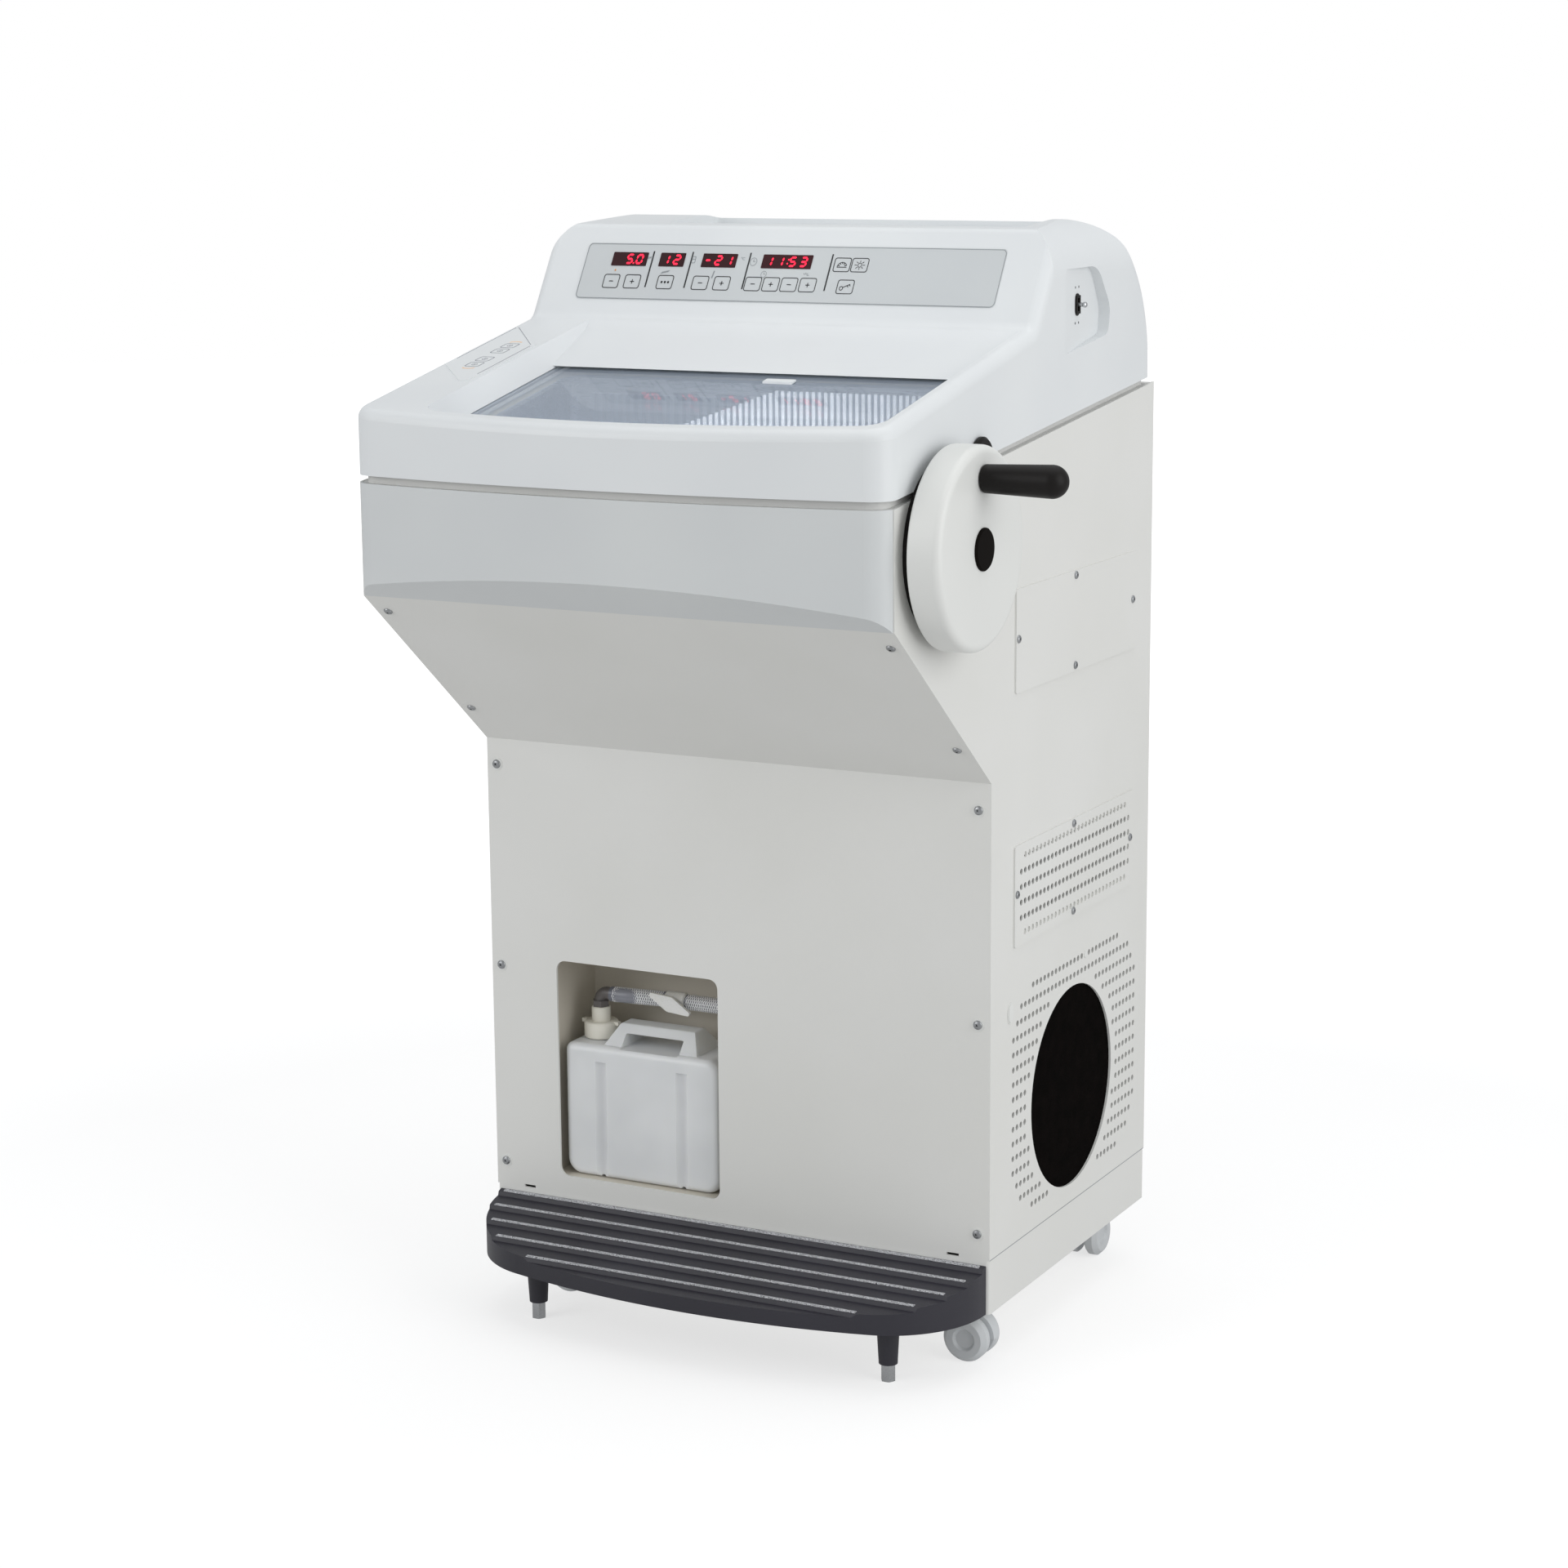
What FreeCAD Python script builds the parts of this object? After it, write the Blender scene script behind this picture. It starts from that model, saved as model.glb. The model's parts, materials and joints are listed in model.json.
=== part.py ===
import FreeCAD, Part
import math
import os

V = FreeCAD.Vector

# Floor-standing cryostat, all lengths in millimetres.
# Working frame: X = 0 is the mid-plane of the cabinet, Y = 0 the face of the lower front panel,
# Z = 0 the floor. The last function moves the finished pieces so that the whole part stands
# centred on the origin.

# Cabinet
cabinet_width = 600.0
cabinet_depth = 434.0
plinth_bottom = 65.0
plinth_top = 124.0
knee_height = 630.0
overhang = 226.0
overhang_bottom = 816.0
shell_front_height = 69.0
side_rise = 68.0
sheet = 2.5
panel = 3.0
flange = 12.0
notch_place = 258.0
notch_width = 14.0
notch_height = 3.0

# Bowed front, shared by the upper shell and the cover below it
front_apex = -267.0
bow_radius = 1700.0
front_corner_radius = 28.0
bow_share = 0.999

# Upper shell
shell_wall = 4.0
shell_gap = 8.0
shell_edge_radius = 12.0
armrest_front_height = 1002.0
armrest_slope = 0.205
armrest_foot_radius = 20.0
fascia_angle = 58.4
hood_front = 166.0
hood_rise = 174.0
hood_top_slope = 0.0714
hood_top_edge_radius = 10.0
hood_side_radius = 56.0
hood_back = 424.0
hood_back_radius = 160.0
lip_front = -2.0
lip_gap = 3.7
apron_angle = 20.0
apron_radius = 80.0
lip_radius = 1.5
well_rim = 19.0
well_left_margin = 80.0
well_left_lean = 17.0
well_right_margin = 16.0
well_right_lean = 8.0
well_corner_radius = 24.0
tray_left_margin = 130.0
tray_right_margin = 50.0
tray_front = 188.0
tray_back = 300.0
tray_depth = 8.0
tray_radius = 8.0
pocket_depth = 13.0
pocket_front = 182.0
pocket_back = 305.0
pocket_drop = 41.0
pocket_back_bottom_drop = 114.0
pocket_front_bottom_drop = 128.0
pocket_back_drop = 86.0
pocket_radius = 12.0
pocket_slant = 6.0
pocket_corner = 36.0

# Control panel and keypad
membrane = 0.8
membrane_margin = 52.0
membrane_height = 57.0
membrane_drop = 20.0
membrane_radius = 5.0
keypad_margin = 11.0
keypad_width = 63.0
keypad_front = -80.0
keypad_back = 66.0
keypad_skew = 66.0
keypad_radius = 7.0

# Window
window_drop = 24.0
glass = 6.0
pane_cover = 8.0
pane_play = 0.8
pane_front_gap = 1.0
pane_back = 18.0
window_travel = 200.0
rail_play = 0.4
rail_floor = 4.0
rail_side = 3.2
rail_inner = 4.0
catch_width = 34.0
catch_depth = 9.0
catch_height = 2.6
catch_play = 0.4
lip_slot = 30.0
catch_place = 74.0
catch_back = 16.0

# Cold chamber
tub_left_margin = 112.0
tub_right_margin = 42.0
tub_front = -232.0
tub_back = 8.0
tub_floor_drop = 41.0
tub_wall = 1.5
tub_flange = 8.0
tub_radius = 14.0
foam = 26.0
foam_back = 42.0
foam_left = 47.0
foam_air = 6.0
deck_play = 2.0
collar_inset = 8.0
collar_wall = 3.0
collar_height = 16.0
rib_pitch = 9.6
rib_depth = 4.0
rib_plate = 3.0
rib_height = 86.0
rib_top_drop = 14.0
rib_side_gap = 12.0

# Microtome
shaft_place = -125.0
shaft_drop = 47.0
shaft_radius = 10.0
running_fit = 0.05
running_gap = 0.3
housing_left = -62.0
housing_right = 84.0
housing_front = -136.0
housing_back = -2.0
housing_rise = 69.0
housing_slope_depth = 40.0
housing_slope_drop = 20.0
housing_radius = 9.0
slide_width = 66.0
slide_thickness = 10.0
slide_rise = 33.0
slide_floor_gap = 3.0
guide_width = 10.0
stroke = 59.0
head_radius = 15.0
head_length = 10.0
disc_radius = 20.0
disc_thickness = 6.0
disc_edge_round = 1.2
head_edge_round = 2.0
feed_travel = 25.0
feed_radius = 9.0
feed_room = 1.5
feed_end_room = 4.0
slide_corner = 4.0
feed_depth = 34.0
head_rise = 19.0
knife_gap = 1.2
knife_base_width = 150.0
knife_base_height = 30.0
knife_base_depth = 30.0
knife_angle = 25.0
clamp_width = 110.0
clamp_thickness = 6.0
blade_width = 80.0
blade_depth = 8.0
blade_tuck = 0.8
blade_under = 4.0
blade_thickness = 0.5
guide_glass_width = 72.0
guide_glass_height = 26.0
guide_glass_start = 10.0
guide_glass_bevel = 1.0
guide_glass_thickness = 2.0

# Handwheel
wheel_radius = 100.0
wheel_gap = 11.0
wheel_thickness = 35.0
wheel_edge = 8.0
wheel_face = 7.0
wheel_rim = 16.0
wheel_boss_radius = 30.0
hub_cap_radius = 21.0
hub_cap_height = 3.0
grip_offset = 68.0
grip_length = 87.0
grip_base_radius = 13.8
grip_end_radius = 16.4
pin_radius = 5.0
pin_reach = 66.0
bearing_radius = 25.0
bearing_flange_radius = 38.0
bearing_flange = 9.5
brake_radius = 84.0
brake_thickness = 7.0
brake_arm_length = 118.0
brake_arm_angle = 40.0
brake_knob_radius = 22.0
brake_knob_back_round = 1.5
brake_knob_round = 2.5
brake_arm_share = 0.7

# Right side covers and air intake
cover_sheet = 2.0
cover_front = 56.5
cover_back = 384.5
cover_radius = 3.0
cover_margin = 14.0
service_bottom = 713.0
service_top = 820.5
vent_bottom = 446.0
vent_top = 553.5
hole_radius = 3.3
hole_pitch = 10.2
hole_row_pitch = 16.4
vent_columns = 30
vent_rows = 6
intake_place = 218.5
intake_height = 256.0
intake_radius = 111.5
intake_field_radius = 122.0
intake_columns = 34
intake_rows = 16
intake_row_pitch = 16.1
intake_field_height = 274.0
intake_field_corner = 52.0
field_shift = 9.0
mesh_overlap = 7.0
mesh_thickness = 1.6

# Toggle switch
switch_place = 223.0
switch_drop = 79.0
switch_width = 11.0
switch_length = 19.0
switch_body = 14.0
switch_lift = 2.0
switch_border = 1.0
switch_tuck = 0.6
switch_slot_share = 0.36
toggle_radius = 2.2
toggle_length = 16.0
toggle_tip = 4.0
toggle_tip_radius = 3.0
toggle_tip_round = 1.0

# Refrigeration
condenser_size = 236.0
condenser_depth = 44.0
condenser_front_gap = 10.0
condenser_fins = 16
condenser_frame = 6.0
condenser_fin_inset = 2.0
condenser_fin_room = 1.0
condenser_fin_share = 0.4
shroud_depth = 46.0
shroud_wall = 2.0
fan_radius = 98.0
fan_hub_radius = 26.0
fan_blades = 5
fan_depth = 18.0
fan_chord = 46.0
motor_radius = 32.0
motor_depth = 40.0
compressor_radius = 82.0
compressor_height = 190.0
compressor_x = 20.0
compressor_y = 270.0
compressor_foot = 96.0
compressor_foot_thickness = 14.0

# Waste bottle recess
recess_margin = 82.0
recess_width = 200.0
recess_bottom = 144.0
recess_top = 389.0
recess_radius = 11.0
recess_side_room = 10.0
recess_depth = 96.0
liner_wall = 2.0

# Waste bottle, hose and tap
bottle_width = 193.0
bottle_side_gap = 1.5
bottle_depth = 75.0
bottle_front = 10.0
bottle_shoulder = 150.0
bottle_radius = 18.0
shoulder_radius = 9.0
bottle_edge = 8.0
bottle_wall = 2.5
groove_radius = 9.0
groove_depth = 3.5
groove_place = 46.0
handle_left = 58.0
handle_right = 150.0
handle_height = 22.0
saddle_front = 9.0
saddle_rise = 27.0
saddle_radius = 3.0
handle_side = 10.0
handle_bar = 9.0
handle_slope = 16.0
neck_place = 26.0
neck_back = 38.0
neck_radius = 15.0
neck_height = 8.0
cap_radius = 19.0
cap_height = 19.0
wing_span = 46.0
wing_width = 6.0
wing_height = 4.0
adapter_radius = 10.5
adapter_height = 16.0
elbow_radius = 8.0
elbow_hex = 17.0
elbow_hex_height = 7.0
elbow_reach = 14.0
elbow_rise = 8.0
hose_radius = 8.4
hose_first = 66.0
arc_share = 0.45
hose_back_step = 5.5
tap_length = 26.0
tap_body_radius = 10.0
tap_handle_span = 52.0
tap_handle_width = 18.0
tap_handle_height = 5.0
tap_stem_radius = 5.0
tap_angle = 20.0
spigot_radius = 9.0
spigot_bore = 6.0
spigot_length = 14.0

# Footrest
foot_margin = 4.0
foot_taper = 4.0
foot_shoulder = 88.0
foot_bow = 36.0
foot_corner_radius = 110.0
foot_top = 118.0
foot_wall = 4.0
tread_pitch = 26.0
tread_drop = 7.4
tread_riser = 4.4
tread_count = 5
leg_margin = 87.5
leg_y = -61.0
leg_top_radius = 12.5
leg_low_radius = 10.0
leg_low = 19.0
foot_flats = 14.0
foot_insert = 32.0

# Castors
castor_margin = 56.0
castor_front = 40.0
castor_back = 383.0
castor_wheel_radius = 25.0
castor_wheel_width = 15.0
castor_web = 12.0
castor_trail = 18.0
castor_axle_radius = 4.0
castor_plate = 3.0
castor_plate_size = 60.0
castor_stem_radius = 15.0
castor_stem_height = 7.0
castor_hood_radius = 29.0
castor_side_gap = 0.5

# Back
bumper_radius = 20.0
bumper_length = 22.0
bumper_margin = 70.0
bumper_low = 220.0
bumper_high = 900.0
gland_radius = 12.0
gland_length = 18.0
gland_bore = 4.5
gland_margin = 90.0
gland_height = 175.0
louvre_length = 200.0
louvre_height = 6.0
louvre_pitch = 18.0
louvre_count = 12
louvre_start = 300.0
louvre_x = 130.0

half_width = cabinet_width / 2

# Places that follow from the sizes above
side_front_top = armrest_front_height - shell_front_height
side_back_top = side_front_top + side_rise
hood_front_height = armrest_front_height + hood_rise
lip_height = armrest_front_height + armrest_slope * (lip_front - front_apex) - window_drop + lip_gap
well_left = well_left_margin - half_width
well_left_low = well_left + well_left_lean
well_right = half_width - well_right_margin
well_right_low = well_right - well_right_lean
tray_left = tray_left_margin - half_width
tray_right = half_width - tray_right_margin
pocket_top = hood_front_height - pocket_drop
pocket_back_height = hood_front_height - pocket_back_drop
pocket_bottom_back = hood_front_height - pocket_back_bottom_drop
pocket_bottom_front = hood_front_height - pocket_front_bottom_drop
switch_height = hood_front_height - switch_drop
membrane_width = cabinet_width - 2 * membrane_margin
membrane_top = hood_front_height - membrane_drop
membrane_bottom = membrane_top - membrane_height
keypad_left = keypad_margin - half_width
keypad_right = keypad_left + keypad_width
tub_left = tub_left_margin - half_width
tub_right = half_width - tub_right_margin
shaft_height = side_front_top - shaft_drop
tub_floor = shaft_height - tub_floor_drop
housing_top = shaft_height + housing_rise
head_height = shaft_height + head_rise
wheel_back = half_width + wheel_gap
foot_half_width = half_width - foot_margin
foot_shoulder_width = foot_half_width - foot_taper
leg_x = half_width - leg_margin
castor_x = half_width - castor_margin
bumper_x = half_width - bumper_margin
gland_x = half_width - gland_margin
recess_left = recess_margin - half_width
recess_right = recess_left + recess_width
far = 600.0


def unit(p, q):
    length = math.dist(p, q)
    return ((q[0] - p[0]) / length, (q[1] - p[1]) / length)


def crossing(p, d, q, e):
    """The point where the line through p along d meets the line through q along e."""
    turn = d[0] * e[1] - d[1] * e[0]
    s = ((q[0] - p[0]) * e[1] - (q[1] - p[1]) * e[0]) / turn
    return (p[0] + d[0] * s, p[1] + d[1] * s)


def winding(points):
    """Plus one for a polygon that runs counter-clockwise, else minus one."""
    total = sum(points[i - 1][0] * p[1] - p[0] * points[i - 1][1] for i, p in enumerate(points))
    return 1 if total > 0 else -1


def inset(points, depth):
    """The polygon with every side moved inward by depth."""
    sides = []
    sign = winding(points)
    for i, p in enumerate(points):
        d = unit(p, points[(i + 1) % len(points)])
        sides.append(((p[0] - d[1] * sign * depth, p[1] + d[0] * sign * depth), d))
    return [crossing(*sides[i - 1], *sides[i]) for i in range(len(points))]


def inset_radii(points, radii, depth):
    """Corner radii of the inset polygon: smaller on outer corners, larger on inner ones."""
    result = []
    sign = winding(points)
    for i, p in enumerate(points):
        u = unit(points[i - 1], p)
        w = unit(p, points[(i + 1) % len(points)])
        outer = (u[0] * w[1] - u[1] * w[0]) * sign > 0
        result.append(max(radii[i] - depth, 0) if outer else radii[i] + depth)
    return result


def point(a, b, plane):
    """A flat point on one of the three main planes."""
    if plane == "XY":
        return V(a, b, 0)
    if plane == "YZ":
        return V(0, a, b)
    return V(a, 0, b)


def outline(points, radii, plane, bevelled=False):
    """Closed wire through the points, each corner rounded by its tangent arc, or cut straight across."""
    count = len(points)
    if not isinstance(radii, list):
        radii = [radii] * count
    corners = []
    for i, corner in enumerate(points):
        u = unit(corner, points[i - 1])
        w = unit(corner, points[(i + 1) % count])
        half = math.acos(u[0] * w[0] + u[1] * w[1]) / 2
        reach = radii[i] / math.tan(half)
        middle = radii[i] / math.sin(half) - radii[i]
        bisector = unit((0, 0), (u[0] + w[0], u[1] + w[1]))
        corners.append([(corner[0] + d[0] * s, corner[1] + d[1] * s)
                        for d, s in ((u, reach), (bisector, middle), (w, reach))])
    edges = []
    for i in range(count):
        start, middle, end = [point(*p, plane) for p in corners[i]]
        if radii[i] > 0 and bevelled:
            edges.append(Part.LineSegment(start, end).toShape())
        elif radii[i] > 0:
            edges.append(Part.Arc(start, middle, end).toShape())
        following = point(*corners[(i + 1) % count][0], plane)
        if (following - end).Length > 0.001:
            edges.append(Part.LineSegment(end, following).toShape())
    return Part.Wire(edges)


def prism(points, radii, plane, low, high):
    """The rounded outline pushed along the third axis from low to high."""
    face = Part.Face(outline(points, radii, plane))
    normal = {"XY": V(0, 0, 1), "YZ": V(1, 0, 0), "XZ": V(0, 1, 0)}[plane]
    face.translate(normal * low)
    return face.extrude(normal * (high - low))


def rectangle(a, b):
    return [(a[0], b[0]), (a[1], b[0]), (a[1], b[1]), (a[0], b[1])]


def box(x, y, z):
    return Part.makeBox(x[1] - x[0], y[1] - y[0], z[1] - z[0], V(x[0], y[0], z[0]))


def rod(axis, centre, radius, low, high):
    """Cylinder along an axis; centre holds the two other coordinates in order."""
    start = {"X": V(low, *centre), "Y": V(centre[0], low, centre[1]), "Z": V(*centre, low)}[axis]
    way = {"X": V(1, 0, 0), "Y": V(0, 1, 0), "Z": V(0, 0, 1)}[axis]
    return Part.makeCylinder(radius, high - low, start, way)


def turned(profile, axis, centre, radii=0, bevelled=True):
    """Body turned about an axis from a profile of (place along the axis, radius)."""
    plane = {"X": "XZ", "Y": "YZ", "Z": "XZ"}[axis]
    points = profile if axis != "Z" else [(r, z) for z, r in profile]
    face = Part.Face(outline(points, radii, plane, bevelled))
    way = {"X": V(1, 0, 0), "Y": V(0, 1, 0), "Z": V(0, 0, 1)}[axis]
    body = face.revolve(V(0, 0, 0), way, 360)
    body.translate({"X": V(0, *centre), "Y": V(centre[0], 0, centre[1]), "Z": V(*centre, 0)}[axis])
    return body


def hexagon(axis_place, flats, low, high):
    """Upright hexagonal bar."""
    corner = flats / math.sqrt(3)
    points = [(axis_place[0] + corner * math.cos(math.radians(60 * i)),
               axis_place[1] + corner * math.sin(math.radians(60 * i))) for i in range(6)]
    return prism(points, 0, "XY", low, high)


def join(shapes):
    first, rest = shapes[0], shapes[1:]
    return first.multiFuse(rest).removeSplitter() if rest else first


def mirrored(shape):
    return shape.mirror(V(0, 0, 0), V(1, 0, 0))


def slanted_height(y):
    """Height of the slanted front plane at depth y."""
    return knee_height - (overhang_bottom - knee_height) / overhang * y


def side_top(y):
    """Height of the side panels' top edge; in front of them it stays level."""
    rise = (side_back_top - side_front_top) / (cabinet_depth + overhang)
    return side_front_top + rise * max(y + overhang, 0)


def shell_bottom(y):
    return side_top(y) + shell_gap


def armrest(y):
    """Height of the armrest plane, which the window and its rails follow."""
    return armrest_front_height + armrest_slope * (y - front_apex)


def bowed_plan(left, right, apex, radius, corner, back):
    """Plan with straight sides, rounded front corners and a bow about X = 0 that peaks at the apex.

    The bow's arc ends a hair before the corner arcs, so that the two never overlap.
    """
    middle = apex + radius
    a, b = math.asin((left + corner) / radius), math.asin((right - corner) / radius)
    start = (radius * math.sin(a), middle - radius * math.cos(a))
    end = (radius * math.sin(b), middle - radius * math.cos(b))
    way_a, way_b = (math.cos(a), math.sin(a)), (math.cos(b), math.sin(b))
    points = [(left, back), crossing(start, way_a, (left, 0), (0, 1)), crossing(start, way_a, end, way_b),
              crossing(end, way_b, (right, 0), (0, 1)), (right, back)]
    return points, [0, corner, radius * bow_share, corner, 0]


def front_plan(depth, back):
    """Plan of the cabinet's bowed front, inset by depth, closed at the given back."""
    side = half_width - depth
    return bowed_plan(-side, side, front_apex + depth, bow_radius - depth, front_corner_radius - depth, back)


def well_plan(left, right, margin, back):
    """Plan of the window well, grown by margin, between the given sides."""
    apex = front_apex + well_rim - margin
    return bowed_plan(left, right, apex, bow_radius - well_rim + margin, well_corner_radius + margin, back)


def side_outline():
    """Outline of a side panel seen from the side, with the overhang to the front."""
    return [(0, plinth_top), (0, knee_height), (-overhang, overhang_bottom), (-overhang, side_front_top),
            (cabinet_depth, side_back_top), (cabinet_depth, plinth_top)]


def plinth():
    """Open sheet tray with the castor plates under it."""
    outside = rectangle((-half_width, half_width), (0, cabinet_depth))
    tray = prism(outside, 4.0, "XY", plinth_bottom, plinth_top)
    tray = tray.cut(prism(inset(outside, sheet), 2.0, "XY", plinth_bottom + panel, plinth_top))
    size = castor_plate_size / 2
    plates = [box((x - size, x + size), (y - size, y + size), (plinth_bottom - castor_plate, plinth_bottom))
              for x in (-castor_x, castor_x) for y in (castor_front, castor_back)]
    return join([tray] + plates)


def side_panel():
    """Folded sheet side: a skin with a flange all round, set back by the panels that lie on it."""
    skin = prism(side_outline(), 0, "YZ", half_width - sheet, half_width)
    rim = inset(side_outline(), panel)
    fold = prism(rim, 0, "YZ", half_width - sheet - flange, half_width - sheet)
    fold = fold.cut(prism(inset(rim, sheet), 0, "YZ", half_width - sheet - flange, half_width - sheet))
    return join([skin, fold])


def hole_pattern(places, low, high):
    """Small square-cornered holes through a side sheet, at the given (y, z) places."""
    cutters = []
    for y, z in places:
        points = [(y, z - hole_radius), (y + hole_radius * 0.7, z), (y, z + hole_radius),
                  (y - hole_radius * 0.7, z)]
        cutters.append(prism(points, 0, "YZ", low, high))
    return Part.makeCompound(cutters)


def intake_places():
    """Perforations round the air intake: a rounded field, centred a little behind the opening it spares."""
    places = []
    half_y = (intake_columns - 1) / 2 * hole_pitch
    half_z = (intake_rows - 1) / 2 * intake_row_pitch
    for row in range(intake_rows):
        for column in range(intake_columns):
            y = column * hole_pitch - half_y
            z = row * intake_row_pitch - half_z
            corner_y = max(abs(y) - half_y + intake_field_corner, 0)
            corner_z = max(abs(z) - half_z + intake_field_corner, 0)
            inside = math.hypot(corner_y, corner_z) <= intake_field_corner + 1
            clear = math.hypot(y + field_shift, z + intake_field_height - intake_height) > intake_field_radius
            if inside and clear:
                places.append((y + intake_place + field_shift, z + intake_field_height))
    return places


def right_side_panel():
    body = side_panel()
    ring = rod("X", (intake_place, intake_height), intake_radius, half_width - far, half_width + 1)
    shaft = rod("X", (shaft_place, shaft_height), bearing_radius + running_gap, half_width - far,
                half_width + 1)
    body = body.cut(ring).cut(shaft)
    for bottom, top in ((service_bottom, service_top), (vent_bottom, vent_top)):
        opening = rectangle((cover_front + cover_margin, cover_back - cover_margin),
                            (bottom + cover_margin, top - cover_margin))
        body = body.cut(prism(opening, cover_radius, "YZ", half_width - flange, half_width + 1))
    return body.cut(hole_pattern(intake_places(), half_width - sheet - 1, half_width + 1))


def service_cover():
    area = rectangle((cover_front, cover_back), (service_bottom, service_top))
    return prism(area, cover_radius, "YZ", half_width, half_width + cover_sheet)


def vent_places():
    """Six rows of vent holes; the first and last row lack their end holes."""
    middle_y = (cover_front + cover_back) / 2
    middle_z = (vent_bottom + vent_top) / 2
    places = []
    for row in range(vent_rows):
        edge = 1 if row in (0, vent_rows - 1) else 0
        for column in range(edge, vent_columns - edge):
            places.append((middle_y + (column - (vent_columns - 1) / 2) * hole_pitch,
                           middle_z + (row - (vent_rows - 1) / 2) * hole_row_pitch))
    return places


def vent_cover():
    area = rectangle((cover_front, cover_back), (vent_bottom, vent_top))
    plate = prism(area, cover_radius, "YZ", half_width, half_width + cover_sheet)
    return plate.cut(hole_pattern(vent_places(), half_width - 1, half_width + cover_sheet + 1))


def intake_mesh():
    """Round filter disc with a raised rim behind the opening of the side panel."""
    inner = half_width - sheet
    centre = (intake_place, intake_height)
    disc = rod("X", centre, intake_radius + mesh_overlap, inner - mesh_thickness, inner)
    rim = rod("X", centre, intake_radius + mesh_overlap, inner - 2 * mesh_thickness, inner - mesh_thickness)
    return join([disc, rim.cut(rod("X", centre, intake_radius, inner - far, inner))])


def lower_front_panel():
    """Flat panel with the rounded opening of the bottle recess and two notches in its lower edge."""
    inner = half_width - sheet
    body = box((-inner, inner), (0, panel), (plinth_top, knee_height))
    opening = rectangle((recess_left, recess_right), (recess_bottom, recess_top))
    body = body.cut(prism(opening, recess_radius, "XZ", -1, panel + 1))
    for x in (-notch_place, notch_place):
        body = body.cut(box((x - notch_width / 2, x + notch_width / 2), (-1, panel + 1),
                            (plinth_top - 1, plinth_top + notch_height)))
    return body


def slanted_panel():
    inner = half_width - sheet
    rise = unit((0, knee_height), (-overhang, overhang_bottom))
    back = crossing((0, knee_height), (0, 1), (rise[1] * panel, knee_height - rise[0] * panel), rise)
    top = (-overhang, overhang_bottom)
    top_back = crossing(top, (0, 1), (rise[1] * panel, knee_height - rise[0] * panel), rise)
    return prism([(0, knee_height), top, top_back, back], 0, "YZ", -inner, inner)


def front_cover():
    """Bowed sheet under the window; its lower lip continues the slanted plane."""
    points, radii = front_plan(0, 0)
    outside = prism(points, radii, "XY", overhang_bottom, side_front_top)
    outside = outside.common(box((-far, far), (-far, -overhang), (0, far * 2)))
    points, radii = front_plan(panel, panel)
    inside = prism(points, radii, "XY", overhang_bottom, side_front_top + 1)

    def above_slant(lift):
        low = slanted_height(-far) + lift
        return prism([(-far, low), (0, knee_height + lift), (0, far + far), (-far, far + far)], 0, "YZ",
                     -far, far)

    fold = panel / math.cos(math.atan2(overhang_bottom - knee_height, overhang))
    body = outside.common(above_slant(0))
    return body.cut(inside.common(above_slant(fold)))


def sloped_slab(low, high, front, back):
    """Slab between two heights above the side panels' top line."""
    line = [(y, side_top(y)) for y in (front, -overhang, back)]
    section = [(y, z + low) for y, z in line] + [(y, z + high) for y, z in reversed(line)]
    return prism(section, 0, "YZ", -far, far)


def foam_limits():
    return (tub_left - foam_left, tub_right + foam), (tub_front - foam, tub_back + foam_back)


def deck():
    """Sloped deck on the side panels' flanges, with the collar that fills the gap under the shell."""
    points, radii = front_plan(panel + running_gap, cabinet_depth)
    plate = prism(points, radii, "XY", 0, far + far).common(sloped_slab(-panel, 0, -far,
                                                                        cabinet_depth - panel))
    points, radii = front_plan(collar_inset, hood_back - collar_inset)
    outer = prism(points, radii, "XY", 0, far + far)
    points, radii = front_plan(collar_inset + collar_wall, hood_back - collar_inset - collar_wall)
    inner = prism(points, radii, "XY", 0, far + far)
    collar = outer.cut(inner).common(sloped_slab(0, collar_height, -far, hood_back))
    (x0, x1), (y0, y1) = foam_limits()
    opening = box((x0 - deck_play, x1 + deck_play), (y0 - deck_play, y1 + deck_play), (0, far + far))
    points, radii = front_plan(collar_inset + collar_wall, y1 + deck_play)
    opening = opening.common(prism(points, radii, "XY", 0, far + far))
    return join([plate.cut(opening), collar])


def sheared(cross_section, start, length, radii=0):
    """A cross-section of (x, height above the armrest plane), pushed back along that plane's slope."""
    face = Part.Face(outline(cross_section, radii, "XZ"))
    face.translate(V(0, start, armrest(start)))
    return face.extrude(V(0, length, length * armrest_slope))


def hood_lines():
    """The fascia's front line and the point where the armrests meet it."""
    way = (math.cos(math.radians(fascia_angle)), math.sin(math.radians(fascia_angle)))
    top = (hood_front, hood_front_height)
    foot = crossing((0, armrest(0)), (1, armrest_slope), top, way)
    return top, way, foot


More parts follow.
